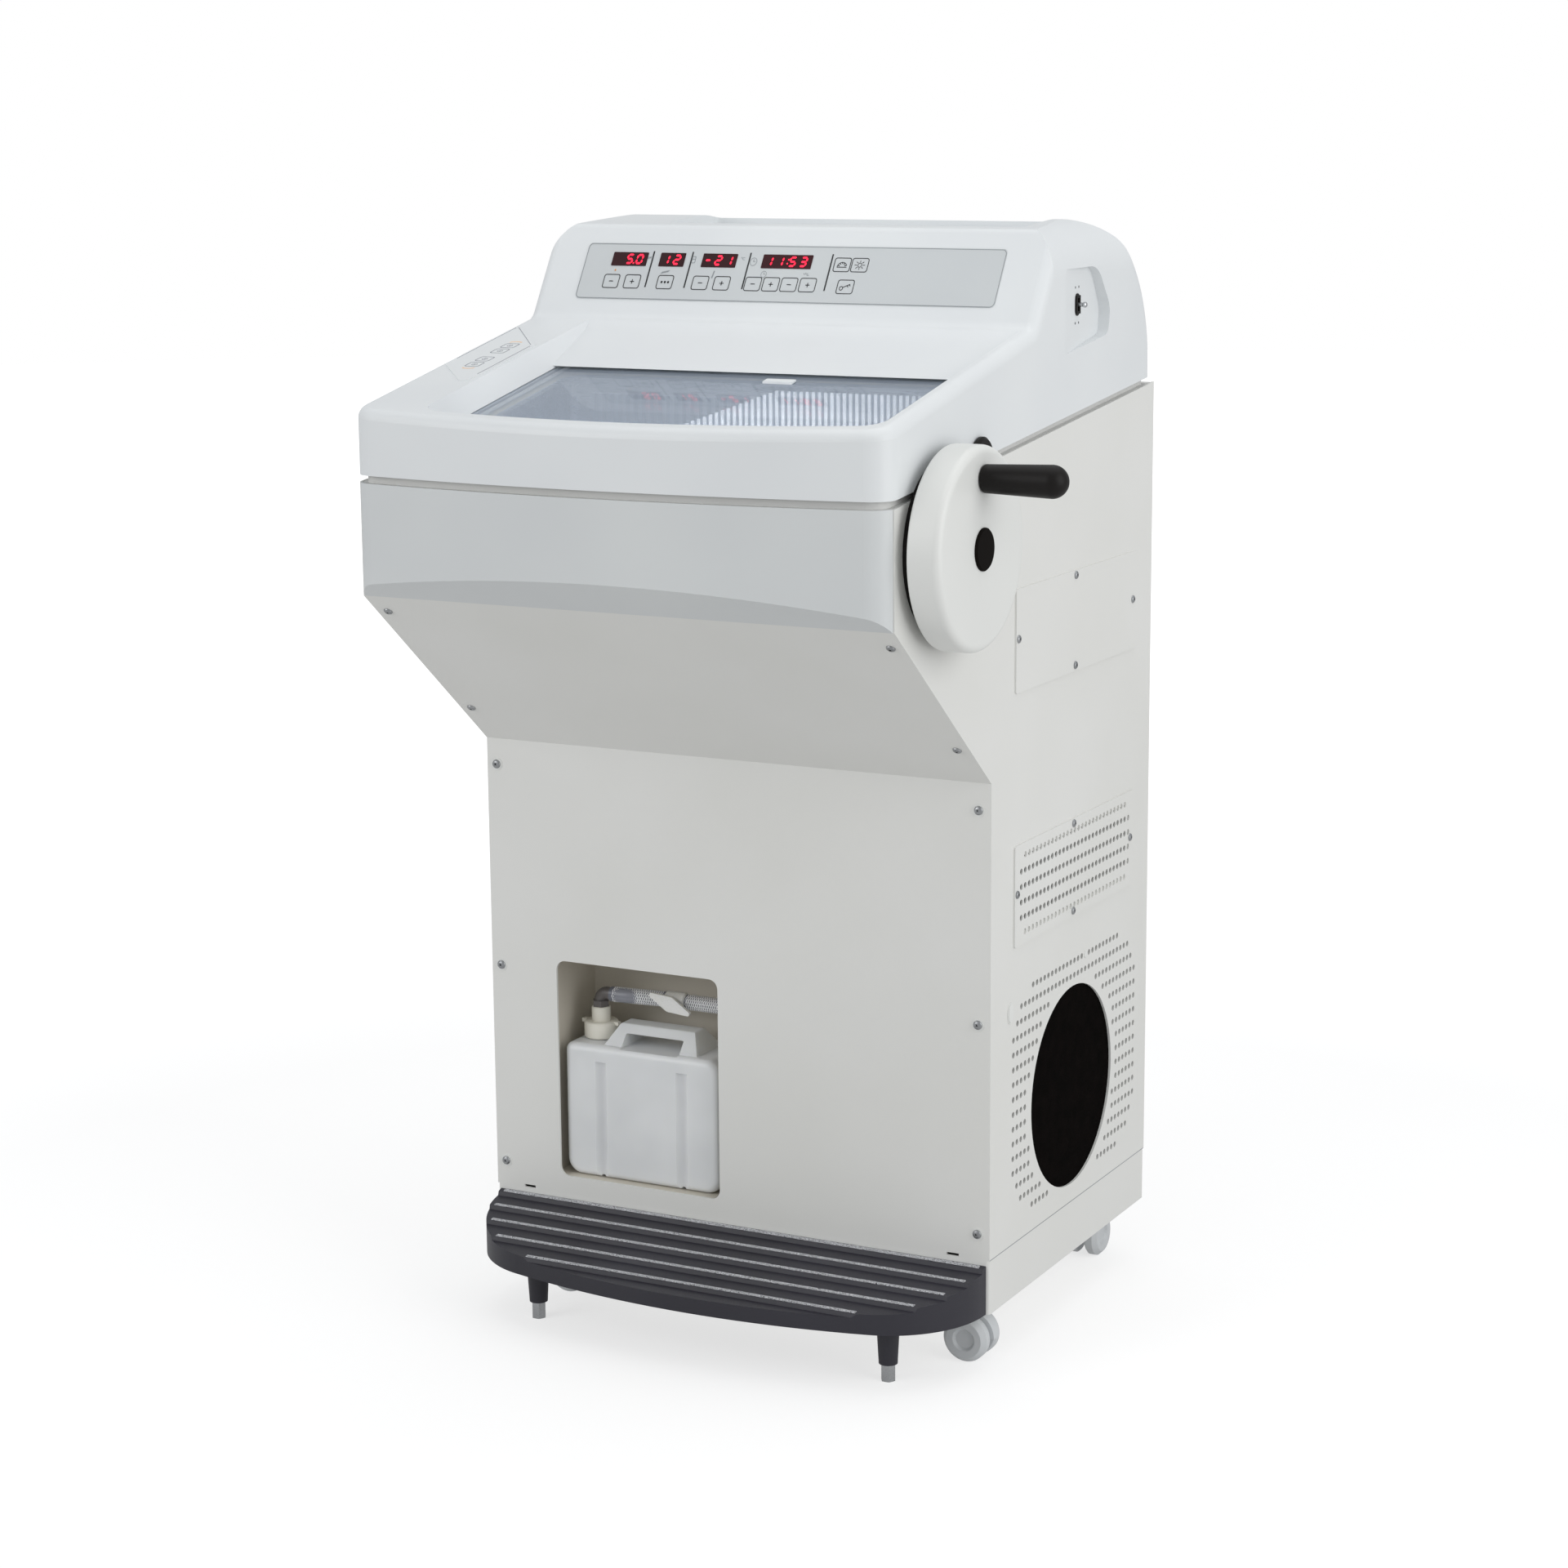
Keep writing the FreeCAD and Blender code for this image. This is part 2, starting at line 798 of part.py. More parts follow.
def shell_body(depth, drop):
    """Solid form of the upper shell, inset by depth, its underside lowered by drop."""
    top, way, foot = hood_lines()
    front = front_apex - far / 10
    back_top = hood_front_height + hood_top_slope * (hood_back - hood_front)
    side = [(front, shell_bottom(front) - drop), (front, armrest(front)), foot, top, (hood_back, back_top),
            (hood_back, shell_bottom(hood_back) - drop), (-overhang, shell_bottom(-overhang) - drop)]
    side_radii = [0, 0, armrest_foot_radius, hood_top_edge_radius, hood_back_radius, 0, 0]
    body = prism(inset(side, depth), inset_radii(side, side_radii, depth), "YZ", -far, far)
    points, radii = front_plan(depth, far)
    body = body.common(prism(points, radii, "XY", 0, far * 3))
    if depth == 0:
        rounded = [edge for edge in body.Edges if top_edge(edge)]
        body = body.makeFillet(shell_edge_radius, rounded)
    face = [(-half_width, 0), (half_width, 0), (half_width, crown_height()), (-half_width, crown_height())]
    face_radii = [0, 0, hood_side_radius, hood_side_radius]
    across = prism(inset(face, depth), inset_radii(face, face_radii, depth), "XZ", -far, far)
    return body.common(across)


def crown_height():
    """Highest point of the hood, where its rounded back leaves the sloped top."""
    slope = math.atan(hood_top_slope)
    corner = hood_front_height + hood_top_slope * (hood_back - hood_front)
    reach = hood_back_radius * math.tan((math.pi / 2 - slope) / 2)
    return corner - reach * math.sin(slope) + hood_back_radius * (1 - math.cos(slope))


def top_edge(edge):
    """True for the edges that run round the top of the armrests and up over the hood."""
    middle = edge.valueAt((edge.FirstParameter + edge.LastParameter) / 2)
    ends = [vertex.Point for vertex in edge.Vertexes]
    if middle.z < shell_bottom(middle.y) + shell_gap:
        return False
    on_side = abs(abs(middle.x) - half_width) < 0.01 and abs(ends[0].x - ends[-1].x) < 0.01
    upright = abs(ends[0].x - ends[-1].x) < 0.01 and abs(ends[0].y - ends[-1].y) < 0.01
    in_front = middle.y < -overhang + front_corner_radius
    return (on_side or in_front) and not upright and middle.y < hood_back - 1


def window_well(margin, bottom):
    """Well over the window: it follows the armrest slope and its left wall leans inward."""
    left, right = well_left - margin, well_right + margin
    low_left, low_right = well_left_low - margin, well_right_low + margin
    lean_left = (left - low_left) / window_drop
    lean_right = (right - low_right) / window_drop
    section = [(left + lean_left * bottom, bottom), (left, 0), (left, far), (right, far), (right, 0),
               (right + lean_right * bottom, bottom)]
    body = sheared(section, 2 * front_apex, 2 * far)
    points, radii = well_plan(left, right, margin, far)
    body = body.common(prism(points, radii, "XY", 0, far * 3))
    return body.cut(hood_face(margin))


def hood_face(margin):
    """Everything behind the fascia, its concave apron and the lip over the glass."""
    top, way, foot = hood_lines()
    apron = (math.cos(math.radians(apron_angle)), math.sin(math.radians(apron_angle)))
    lip = (lip_front, lip_height)
    bend = crossing(lip, apron, top, way)
    upper = (top[0] + way[0] * far, top[1] + way[1] * far)
    region = [lip, bend, upper, (far * 3, upper[1]), (far * 3, far / 2), (lip_front, far / 2)]
    radii = [lip_radius, apron_radius, 0, 0, 0, 0]
    return prism(inset(region, margin), inset_radii(region, radii, margin), "YZ", -far, far)


def pocket(margin):
    """Recess for the switch: its floor leans from flush at the front to full depth at the back."""
    outline_points = [(pocket_front, pocket_bottom_front), (pocket_back - pocket_slant, pocket_bottom_back),
                      (pocket_back, pocket_back_height), (pocket_back - pocket_corner, pocket_top),
                      (pocket_front, pocket_top)]
    grown = inset(outline_points, -margin)
    radii = [0, pocket_radius, 2 * pocket_radius, 3 * pocket_radius, 0]
    body = prism(grown, radii, "YZ", half_width - far, half_width + 1)
    floor = [(pocket_floor(0) - margin, 0), (pocket_floor(far) - margin, far), (far, far), (far, 0)]
    return body.common(prism(floor, 0, "XY", 0, far * 3))


def pocket_floor(y):
    return half_width - pocket_depth * (y - pocket_front) / (pocket_back - pocket_front)


def tray(margin):
    area = rectangle((tray_left - margin, tray_right + margin), (tray_front - margin, tray_back + margin))
    floor = hood_front_height + hood_top_slope * (tray_front - hood_front) - tray_depth - margin
    return prism(area, tray_radius + margin, "XY", floor, far * 3)


def upper_shell():
    """One moulding: armrests, window well, hood with fascia and apron, tray on top, switch pocket."""
    outside = shell_body(0, 0)
    inside = shell_body(shell_wall, shell_gap * 3)
    under_pane = pane_play - window_drop
    for solid in (window_well(shell_wall, under_pane), tray(shell_wall), pocket(shell_wall)):
        inside = inside.cut(solid)
    shell = outside.cut(inside)
    for hollow in (window_well(0, under_pane - shell_wall), tray(0), pocket(0)):
        shell = shell.cut(hollow)
    mouth = box((half_width - far / 10, half_width + 1),
                (switch_place - switch_width / 2 + 1, switch_place + switch_width / 2 - 1),
                (switch_height - switch_length / 2 + 1, switch_height + switch_length / 2 - 1))
    slot = rectangle((well_left_low, well_right_low),
                     (-window_drop - glass - pane_play, catch_height + catch_play - window_drop))
    return shell.cut(mouth).cut(sheared(slot, lip_front - shell_wall, lip_slot))


def control_membrane():
    """Thin printed panel on the fascia."""
    top, way, foot = hood_lines()
    out = (-way[1] * membrane, way[0] * membrane)
    low, high = [(top[0] + way[0] * (z - top[1]) / way[1], z) for z in (membrane_bottom, membrane_top)]
    section = [low, high, (high[0] + out[0], high[1] + out[1]), (low[0] + out[0], low[1] + out[1])]
    plate = prism(section, 0, "YZ", -membrane_width / 2, membrane_width / 2)
    front = rectangle((-membrane_width / 2, membrane_width / 2), (membrane_bottom, membrane_top + membrane))
    return plate.common(prism(front, membrane_radius, "XZ", -far, far))


def armrest_keypad():
    area = [(keypad_left, keypad_front), (keypad_right, keypad_front - keypad_skew),
            (keypad_right, keypad_back - keypad_skew), (keypad_left, keypad_back)]
    column = prism(area, keypad_radius, "XY", 0, far * 3)
    sheet_section = [(keypad_left, 0), (keypad_right, 0), (keypad_right, membrane), (keypad_left, membrane)]
    return column.common(sheared(sheet_section, keypad_front - far / 2, far))


def pane_limits():
    return well_left_low - pane_cover, well_right_low + pane_cover


def window_pane():
    """Sliding pane with a bowed front edge that follows the rim of the well."""
    left, right = pane_limits()
    section = rectangle((left, right), (-window_drop - glass, -window_drop))
    points, radii = well_plan(left, right, -pane_front_gap, pane_back)
    return sheared(section, 2 * front_apex, 2 * far).common(prism(points, radii, "XY", 0, far * 3))


def window_catch():
    """Finger ledge on the glass just in front of the lip."""
    back = lip_front - catch_back
    section = rectangle((catch_place - catch_width / 2, catch_place + catch_width / 2),
                        (-window_drop, catch_height - window_drop))
    return sheared(section, back - catch_depth, catch_depth, 1.0)


def window_rails():
    """Pair of channels that carry the glass over its whole travel."""
    left, right = pane_limits()
    under = -window_drop - glass - rail_play
    rails = []
    for edge, side in ((left, -1), (right, 1)):
        inner = edge - side * rail_inner
        wall = edge + side * pane_play * 1.5
        outer = wall + side * rail_side
        section = [(inner, under - rail_floor), (outer, under - rail_floor), (outer, under + glass),
                   (wall, under + glass), (wall, under), (inner, under)]
        if side > 0:
            section = section[::-1]
        start = front_apex + well_rim + well_corner_radius
        rails.append(sheared(section, start, pane_back + window_travel - start))
    return Part.makeCompound(rails)


def foam_top():
    return -window_drop - glass - rail_play - rail_floor - tub_wall


def under_window(height):
    """Everything below a plane that is parallel to the window."""
    return sheared(rectangle((-far, far), (height - 2 * far, height)), -far, 2 * far)


def above_slope(lift):
    """Everything at least the given distance above the slanted front plane."""
    low, high = slanted_height(far) + lift, slanted_height(-far) + lift
    return prism([(-far, high), (far, low), (far, 3 * far), (-far, 3 * far)], 0, "YZ", -far, far)


def chamber_foam():
    """Insulating block round the tub, shaped to the slanted panel and the bowed front."""
    x, y = foam_limits()
    body = box(x, y, (tub_floor - foam, 2 * far)).common(under_window(foam_top()))
    points, radii = front_plan(collar_inset + collar_wall + deck_play, far)
    body = body.common(prism(points, radii, "XY", 0, 3 * far)).common(above_slope(panel * 2 + foam_air))
    body = body.cut(tub_outside())
    return body.cut(rod("X", (shaft_place, shaft_height), bearing_radius + running_gap, 0, far))


def tub_outside():
    area = rectangle((tub_left, tub_right), (tub_front, tub_back))
    return prism(area, tub_radius, "XY", tub_floor, 2 * far)


def chamber_tub():
    """Deep-drawn steel tub with a rim that lies on the foam."""
    area = rectangle((tub_left, tub_right), (tub_front, tub_back))
    body = tub_outside()
    rim = prism(inset(area, -tub_flange), tub_radius + tub_flange, "XY", 0, 2 * far)
    rim = rim.common(sheared(rectangle((-far, far), (foam_top(), foam_top() + tub_wall)), -far, 2 * far))
    body = join([body.common(under_window(foam_top() + tub_wall)), rim])
    inner = inset(area, tub_wall)
    body = body.cut(prism(inner, tub_radius - tub_wall, "XY", tub_floor + tub_wall, 3 * far))
    return body.cut(rod("X", (shaft_place, shaft_height), shaft_radius + 2, 0, far))


def cold_plate():
    """Evaporator plate on the back wall of the tub, with upright ribs."""
    back = tub_back - tub_wall
    left, right = tub_left + tub_radius + rib_side_gap, tub_right - tub_radius - rib_side_gap
    top = armrest(back) + foam_top() - rib_top_drop
    count = int((right - left) / rib_pitch)
    points = [(left, back), (left, back - rib_plate)]
    for i in range(count):
        start = left + (i + 0.5) * (right - left) / count - rib_pitch / 2
        points += [(start + rib_pitch * 0.25, back - rib_plate),
                   (start + rib_pitch * 0.45, back - rib_plate - rib_depth),
                   (start + rib_pitch * 0.6, back - rib_plate - rib_depth),
                   (start + rib_pitch * 0.8, back - rib_plate)]
    points += [(right, back - rib_plate), (right, back)]
    return prism(points, 0, "XY", top - rib_height, top)


def microtome_housing():
    """Housing on the tub floor with the shaft bore, slide guides and a chamfered roof."""
    floor = tub_floor + tub_wall
    area = rectangle((housing_left, housing_right), (housing_front, housing_back))
    body = prism(area, housing_radius, "XY", floor, housing_top)
    roof = [(housing_front - 1, floor), (far, floor), (far, housing_top),
            (housing_front + housing_slope_depth, housing_top),
            (housing_front - 1, housing_top - housing_slope_drop)]
    body = body.common(prism(roof, 0, "YZ", -far, far))
    middle = (housing_left + housing_right) / 2
    for side in (-1, 1):
        edge = middle + side * (slide_width / 2 + running_gap)
        outer = edge + side * guide_width
        rail = box((min(edge, outer), max(edge, outer)), (housing_front - slide_thickness, housing_front + 1),
                   (floor, housing_top - housing_slope_drop))
        body = body.fuse(rail)
    bore = rod("X", (shaft_place, shaft_height), shaft_radius + running_fit, middle, far)
    slot = prism(rectangle((middle - feed_radius - feed_room, middle + feed_radius + feed_room),
                           (head_height - stroke / 2 - feed_radius - feed_room,
                            head_height + stroke / 2 + feed_radius + feed_room)),
                 feed_radius + 1, "XZ", housing_front - 1, housing_front + feed_depth + feed_end_room)
    return body.cut(bore).cut(slot).removeSplitter()


def housing_middle():
    return (housing_left + housing_right) / 2


def specimen_slide():
    """Plate that runs up and down between the guides."""
    x = housing_middle()
    back = housing_front - running_gap
    area = rectangle((x - slide_width / 2, x + slide_width / 2),
                     (tub_floor + tub_wall + slide_floor_gap + stroke / 2, head_height + slide_rise))
    body = prism(area, slide_corner, "XZ", back - slide_thickness, back)
    return body.cut(rod("Y", (x, head_height), feed_radius + running_fit, -far, far))


def slide_face():
    return housing_front - running_gap - slide_thickness


def feed_cylinder():
    """Feed rod through the slide with the round specimen head in front."""
    x = housing_middle()
    face = slide_face() - running_gap
    head = turned([(face, 0), (face - head_length, 0), (face - head_length, head_radius),
                   (face, head_radius)],
                  "Y", (x, head_height), [0, 0, head_edge_round, 0])
    return join([head, rod("Y", (x, head_height), feed_radius, face, face + feed_depth)])


def specimen_disc():
    x = housing_middle()
    back = slide_face() - running_gap - head_length
    return turned([(back, 0), (back - disc_thickness, 0), (back - disc_thickness, disc_radius),
                   (back, disc_radius)],
                  "Y", (x, head_height), [0, 0, disc_edge_round, disc_edge_round])


def knife_edge():
    """Front-to-back place of the blade's edge, just clear of the fully fed specimen disc."""
    return slide_face() - running_gap - head_length - disc_thickness - feed_travel - knife_gap


def knife_base():
    """Base of the knife holder on the tub floor, with a sloped seat for the clamp plate."""
    x, floor = housing_middle(), tub_floor + tub_wall
    back = knife_edge() - 2
    front = back - knife_base_depth
    seat = knife_base_depth * math.tan(math.radians(knife_angle))
    top = floor + knife_base_height
    section = [(front, floor), (back, floor), (back, top + seat), (front, top)]
    width = knife_base_width / 2
    return prism(section, [0, 0, 0.5, 0.5], "YZ", x - width, x + width)


def on_seat(along, above):
    """Place on the knife holder's sloped seat, measured down from its back edge and square to it."""
    slope = math.radians(knife_angle)
    back = knife_edge() - 2
    top = tub_floor + tub_wall + knife_base_height + knife_base_depth * math.tan(slope)
    return (back - along * math.cos(slope) - above * math.sin(slope),
            top - along * math.sin(slope) + above * math.cos(slope))


def blade_clamp():
    """Clamp plate with the thin blade under it, two solids."""
    x = housing_middle()
    reach = knife_base_depth / math.cos(math.radians(knife_angle)) - 3
    under = blade_thickness
    section = [on_seat(3, under), on_seat(reach, under), on_seat(reach, under + clamp_thickness),
               on_seat(9, under + clamp_thickness)]
    plate = prism(section, [0, 1.0, 1.0, 0.5], "YZ", x - clamp_width / 2, x + clamp_width / 2)
    strip = [on_seat(blade_tuck, 0), on_seat(blade_depth + blade_under, 0),
             on_seat(blade_depth + blade_under, under),
             on_seat(blade_tuck, under)]
    blade = prism(strip, 0, "YZ", x - blade_width / 2, x + blade_width / 2)
    return Part.makeCompound([plate, blade])


def anti_roll_guide():
    """Narrow guide plate on the clamp, hinged at its lower end."""
    x = housing_middle()
    base = clamp_thickness + blade_thickness + running_gap
    section = [on_seat(guide_glass_start, base), on_seat(guide_glass_height, base),
               on_seat(guide_glass_height, base + guide_glass_thickness),
               on_seat(guide_glass_start + guide_glass_bevel, base + guide_glass_thickness)]
    ends = (x - guide_glass_width / 2, x + guide_glass_width / 2)
    knuckle = rod("X", guide_hinge(), guide_glass_thickness / 2, *ends)
    return prism(section, 0, "YZ", *ends).fuse(knuckle).removeSplitter()


def guide_hinge():
    """Axis at the plate's lower end."""
    above = clamp_thickness + blade_thickness + running_gap + guide_glass_thickness / 2
    return on_seat(guide_glass_height, above)


def wheel_shaft():
    """Shaft from the microtome through the side of the cabinet to the handwheel."""
    centre = (shaft_place, shaft_height)
    middle = housing_middle() + feed_radius + 6
    return rod("X", centre, shaft_radius, middle, wheel_back + wheel_thickness - wheel_face)


def shaft_bearing():
    """Flanged sleeve in the side panel that carries the shaft."""
    centre = (shaft_place, shaft_height)
    inner = tub_right + 0.5
    bore = shaft_radius + running_fit
    profile = [(inner, bore), (half_width + bearing_flange, bore),
               (half_width + bearing_flange, bearing_flange_radius),
               (half_width, bearing_flange_radius), (half_width, bearing_radius), (inner, bearing_radius)]
    return turned(profile, "X", centre)


def handwheel():
    """Dished wheel: full face, deep rim, a boss round the shaft and the fixed pin of the grip."""
    back, front = wheel_back, wheel_back + wheel_thickness
    web = front - wheel_face
    profile = [(front, 0), (front, wheel_radius), (back, wheel_radius), (back, wheel_radius - wheel_rim),
               (web, wheel_radius - wheel_rim - 4), (web, wheel_boss_radius + 4), (back, wheel_boss_radius),
               (back, shaft_radius), (web, shaft_radius), (web, 0)]
    radii = [0, wheel_edge, 3.0, 0, 0, 0, 0, 0, 0, 0]
    wheel = turned(profile, "X", (shaft_place, shaft_height), radii, False)
    pin = rod("X", grip_centre(), pin_radius, web, front + pin_reach)
    return wheel.fuse(pin).removeSplitter()


def hub_cap():
    front = wheel_back + wheel_thickness
    profile = [(front, 0), (front, hub_cap_radius), (front + hub_cap_height, hub_cap_radius),
               (front + hub_cap_height, 0)]
    return turned(profile, "X", (shaft_place, shaft_height), [0, 0, 1.5, 0])


def grip_centre():
    return (shaft_place, shaft_height + grip_offset)


def wheel_grip():
    """Tapered grip with a round end, free to turn on its pin."""
    start = wheel_back + wheel_thickness + running_gap
    end = wheel_back + wheel_thickness + grip_length
    bore = pin_radius + running_fit
    profile = [(start, bore), (start, grip_base_radius), (end, grip_end_radius * 1.02), (end, 0),
               (start + pin_reach + 1, 0), (start + pin_reach + 1, bore)]
    radii = [0, 2.5, grip_end_radius * 0.98, 0, 0, 0]
    return turned(profile, "X", grip_centre(), radii, False)


def brake_lever():
    """Brake ring behind the wheel, with the arm and knob that lock it."""
    low, high = half_width + running_gap, half_width + running_gap + brake_thickness
    angle = math.radians(brake_arm_angle)
    end = (shaft_place + brake_arm_length * math.cos(angle),
           shaft_height + brake_arm_length * math.sin(angle))
    ring = rod("X", (shaft_place, shaft_height), brake_radius, low, high)
    knob = turned([(low, 0), (low, brake_knob_radius), (high, brake_knob_radius), (high, 0)], "X", end,
                  [0, brake_knob_back_round, brake_knob_round, 0])
    half_arm = brake_knob_radius * brake_arm_share
    across = (-math.sin(angle) * half_arm, math.cos(angle) * half_arm)
    root = (shaft_place + brake_radius / 2 * math.cos(angle),
            shaft_height + brake_radius / 2 * math.sin(angle))
    arm = prism([(root[0] + across[0], root[1] + across[1]), (root[0] - across[0], root[1] - across[1]),
                 (end[0] - across[0], end[1] - across[1]), (end[0] + across[0], end[1] + across[1])],
                0, "YZ", low, high)
    body = join([ring, arm, knob])
    return body.cut(rod("X", (shaft_place, shaft_height), bearing_flange_radius + running_gap, 0, far))


def switch_base():
    """Bezel of the toggle switch through the floor of the pocket, with the slot of its lever."""
    face = pocket_floor(switch_place) + switch_lift
    y = (switch_place - switch_width / 2 + 1, switch_place + switch_width / 2 - 1)
    z = (switch_height - switch_length / 2 + 1, switch_height + switch_length / 2 - 1)
    body = box((face - switch_body, face), y, z)
    lip = box((pocket_floor(y[0] - switch_border) - switch_tuck, face),
              (y[0] - switch_border, y[1] + switch_border), (z[0] - switch_border, z[1] + switch_border))
    lip = lip.cut(pocket_material())
    slot = box((face - switch_body / 2 - toggle_radius * 2, face + 1),
               (switch_place - toggle_radius - running_gap, switch_place + toggle_radius + running_gap),
               (switch_height - switch_length * switch_slot_share,
                switch_height + switch_length * switch_slot_share))
    return join([body, lip]).cut(slot)


def pocket_material():
    """What lies behind the floor of the pocket."""
    floor = [(half_width, pocket_front), (pocket_floor(pocket_back), pocket_back), (0, pocket_back),
             (0, pocket_front)]
    return prism(floor, 0, "XY", 0, 3 * far)


def toggle_pivot():
    return pocket_floor(switch_place) + switch_lift - switch_body / 2


def toggle_lever():
    """Short lever with a thicker end that tips up and down about its pivot."""
    x = toggle_pivot()
    stem = rod("X", (switch_place, switch_height), toggle_radius, x, x + toggle_length - toggle_tip)
    tip = turned([(x + toggle_length - toggle_tip, 0), (x + toggle_length - toggle_tip, toggle_tip_radius),
                  (x + toggle_length, toggle_tip_radius), (x + toggle_length, 0)],
                 "X", (switch_place, switch_height), [0, toggle_tip_round, toggle_tip_round, 0])
    pivot = rod("Y", (x, switch_height), toggle_radius + running_gap,
                switch_place - toggle_radius, switch_place + toggle_radius)
    return stem.multiFuse([tip, pivot]).removeSplitter()


def condenser_front():
    return half_width - sheet - 2 * mesh_thickness - condenser_front_gap


def condenser():
    """Finned block in a sheet frame behind the air intake."""
    x1 = condenser_front()
    x0 = x1 - condenser_depth
    size = condenser_size / 2
    y = (intake_place - size, intake_place + size)
    z = (plinth_bottom + panel, plinth_bottom + panel + condenser_size)
    frame = box((x0, x1), y, z)
    inner = (z[0] + condenser_frame, z[1] - condenser_frame)
    body = frame.cut(box((x0 - 1, x1 + 1), (y[0] + condenser_frame, y[1] - condenser_frame), inner))
    pitch = (inner[1] - inner[0]) / condenser_fins
    fins = []
    for i in range(condenser_fins):
        middle = inner[0] + (i + 0.5) * pitch
        fins.append(box((x0 + condenser_fin_inset, x1 - condenser_fin_inset),
                        (y[0] + condenser_fin_room, y[1] - condenser_fin_room),
                        (middle - pitch * condenser_fin_share / 2, middle + pitch * condenser_fin_share / 2)))
    return join([body] + fins)


def fan_centre():
    return (intake_place, plinth_bottom + panel + condenser_size / 2)


def fan_shroud():
    """Shroud on the condenser with the fan's ring, three struts and the motor."""
    x1 = condenser_front() - condenser_depth
    x0 = x1 - shroud_depth
    size = condenser_size / 2
    y, z = (intake_place - size, intake_place + size), (plinth_bottom + panel,
                                                        plinth_bottom + panel + condenser_size)
    body = box((x0, x1), y, z).cut(box((x0 + shroud_wall, x1), (y[0] + shroud_wall, y[1] - shroud_wall),
                                       (z[0] + shroud_wall, z[1] - shroud_wall)))
    body = body.cut(rod("X", fan_centre(), fan_radius + 3, x0 - 1, x1))
    motor = rod("X", fan_centre(), motor_radius, x0 - motor_depth, x0 - shroud_wall)
    parts = [body, motor]
    for i in range(3):
        strut = box((x0 - shroud_wall * 2, x0), (fan_centre()[0] - 5, fan_centre()[0] + 5),
                    (fan_centre()[1], fan_centre()[1] + fan_radius + 10))
        strut.rotate(V(0, *fan_centre()), V(1, 0, 0), 120 * i + 60)
        parts.append(strut)
    shaft = rod("X", fan_centre(), shaft_radius / 2, x0 - shroud_wall, x0 + shroud_wall + fan_depth / 2)
    return join(parts + [shaft])


def fan_rotor():
    """Hub with pitched blades in the shroud's ring."""
    x0 = condenser_front() - condenser_depth - shroud_depth + shroud_wall + 2
    centre = fan_centre()
    parts = [rod("X", centre, fan_hub_radius, x0, x0 + fan_depth)]
    for i in range(fan_blades):
        blade = box((x0 + fan_depth / 2 - 1, x0 + fan_depth / 2 + 1),
                    (centre[0] - fan_chord / 2, centre[0] + fan_chord / 2),
                    (centre[1] + fan_hub_radius - 4, centre[1] + fan_radius))
        blade.rotate(V(x0 + fan_depth / 2, *centre), V(0, 0, 1), 16)
        blade.rotate(V(0, *centre), V(1, 0, 0), 360 / fan_blades * i)
        parts.append(blade)
    rotor = join(parts)
    return rotor.cut(rod("X", centre, shaft_radius / 2 + running_fit, x0 - 1, x0 + fan_depth / 2 + 1))


def compressor():
    """Hermetic compressor: domed can on a foot plate."""
    centre = (compressor_x, compressor_y)
    base = plinth_bottom + panel
    low = base + compressor_foot_thickness
    can = turned([(low, 0), (low, compressor_radius), (low + compressor_height, compressor_radius),
                  (low + compressor_height, 0)], "Z", centre, [0, 22.0, 42.0, 0])
    band = rod("Z", centre, compressor_radius + 3, low + compressor_height / 2 - 4,
               low + compressor_height / 2 + 4)
    foot = compressor_foot
    plate = prism(rectangle((centre[0] - foot, centre[0] + foot), (centre[1] - foot, centre[1] + foot)), 14.0,
                  "XY", base, low + 1)
    return join([can, band, plate])


def recess_room():
    return (recess_left - recess_side_room, recess_right + recess_side_room)


def recess_liner():
    """Open-fronted liner behind the front panel, a little wider than the opening, with its drain spigot."""
    left, right = recess_room()
    floor, roof = recess_bottom, recess_top + recess_side_room
    wall = liner_wall
    body = box((left - wall, right + wall), (panel, panel + recess_depth + wall), (floor - wall, roof + wall))
    body = body.cut(box((left, right), (panel - 1, panel + recess_depth), (floor, roof)))
    start = hose_end() + running_gap
    spigot = rod("X", spigot_centre(), spigot_radius, start, right + wall + spigot_length)
    body = body.fuse(spigot).removeSplitter()
    return body.cut(rod("X", spigot_centre(), spigot_bore, start - 1, far))


def bottle_floor():
    return recess_bottom + running_gap


def bottle_top():
    return bottle_floor() + bottle_shoulder


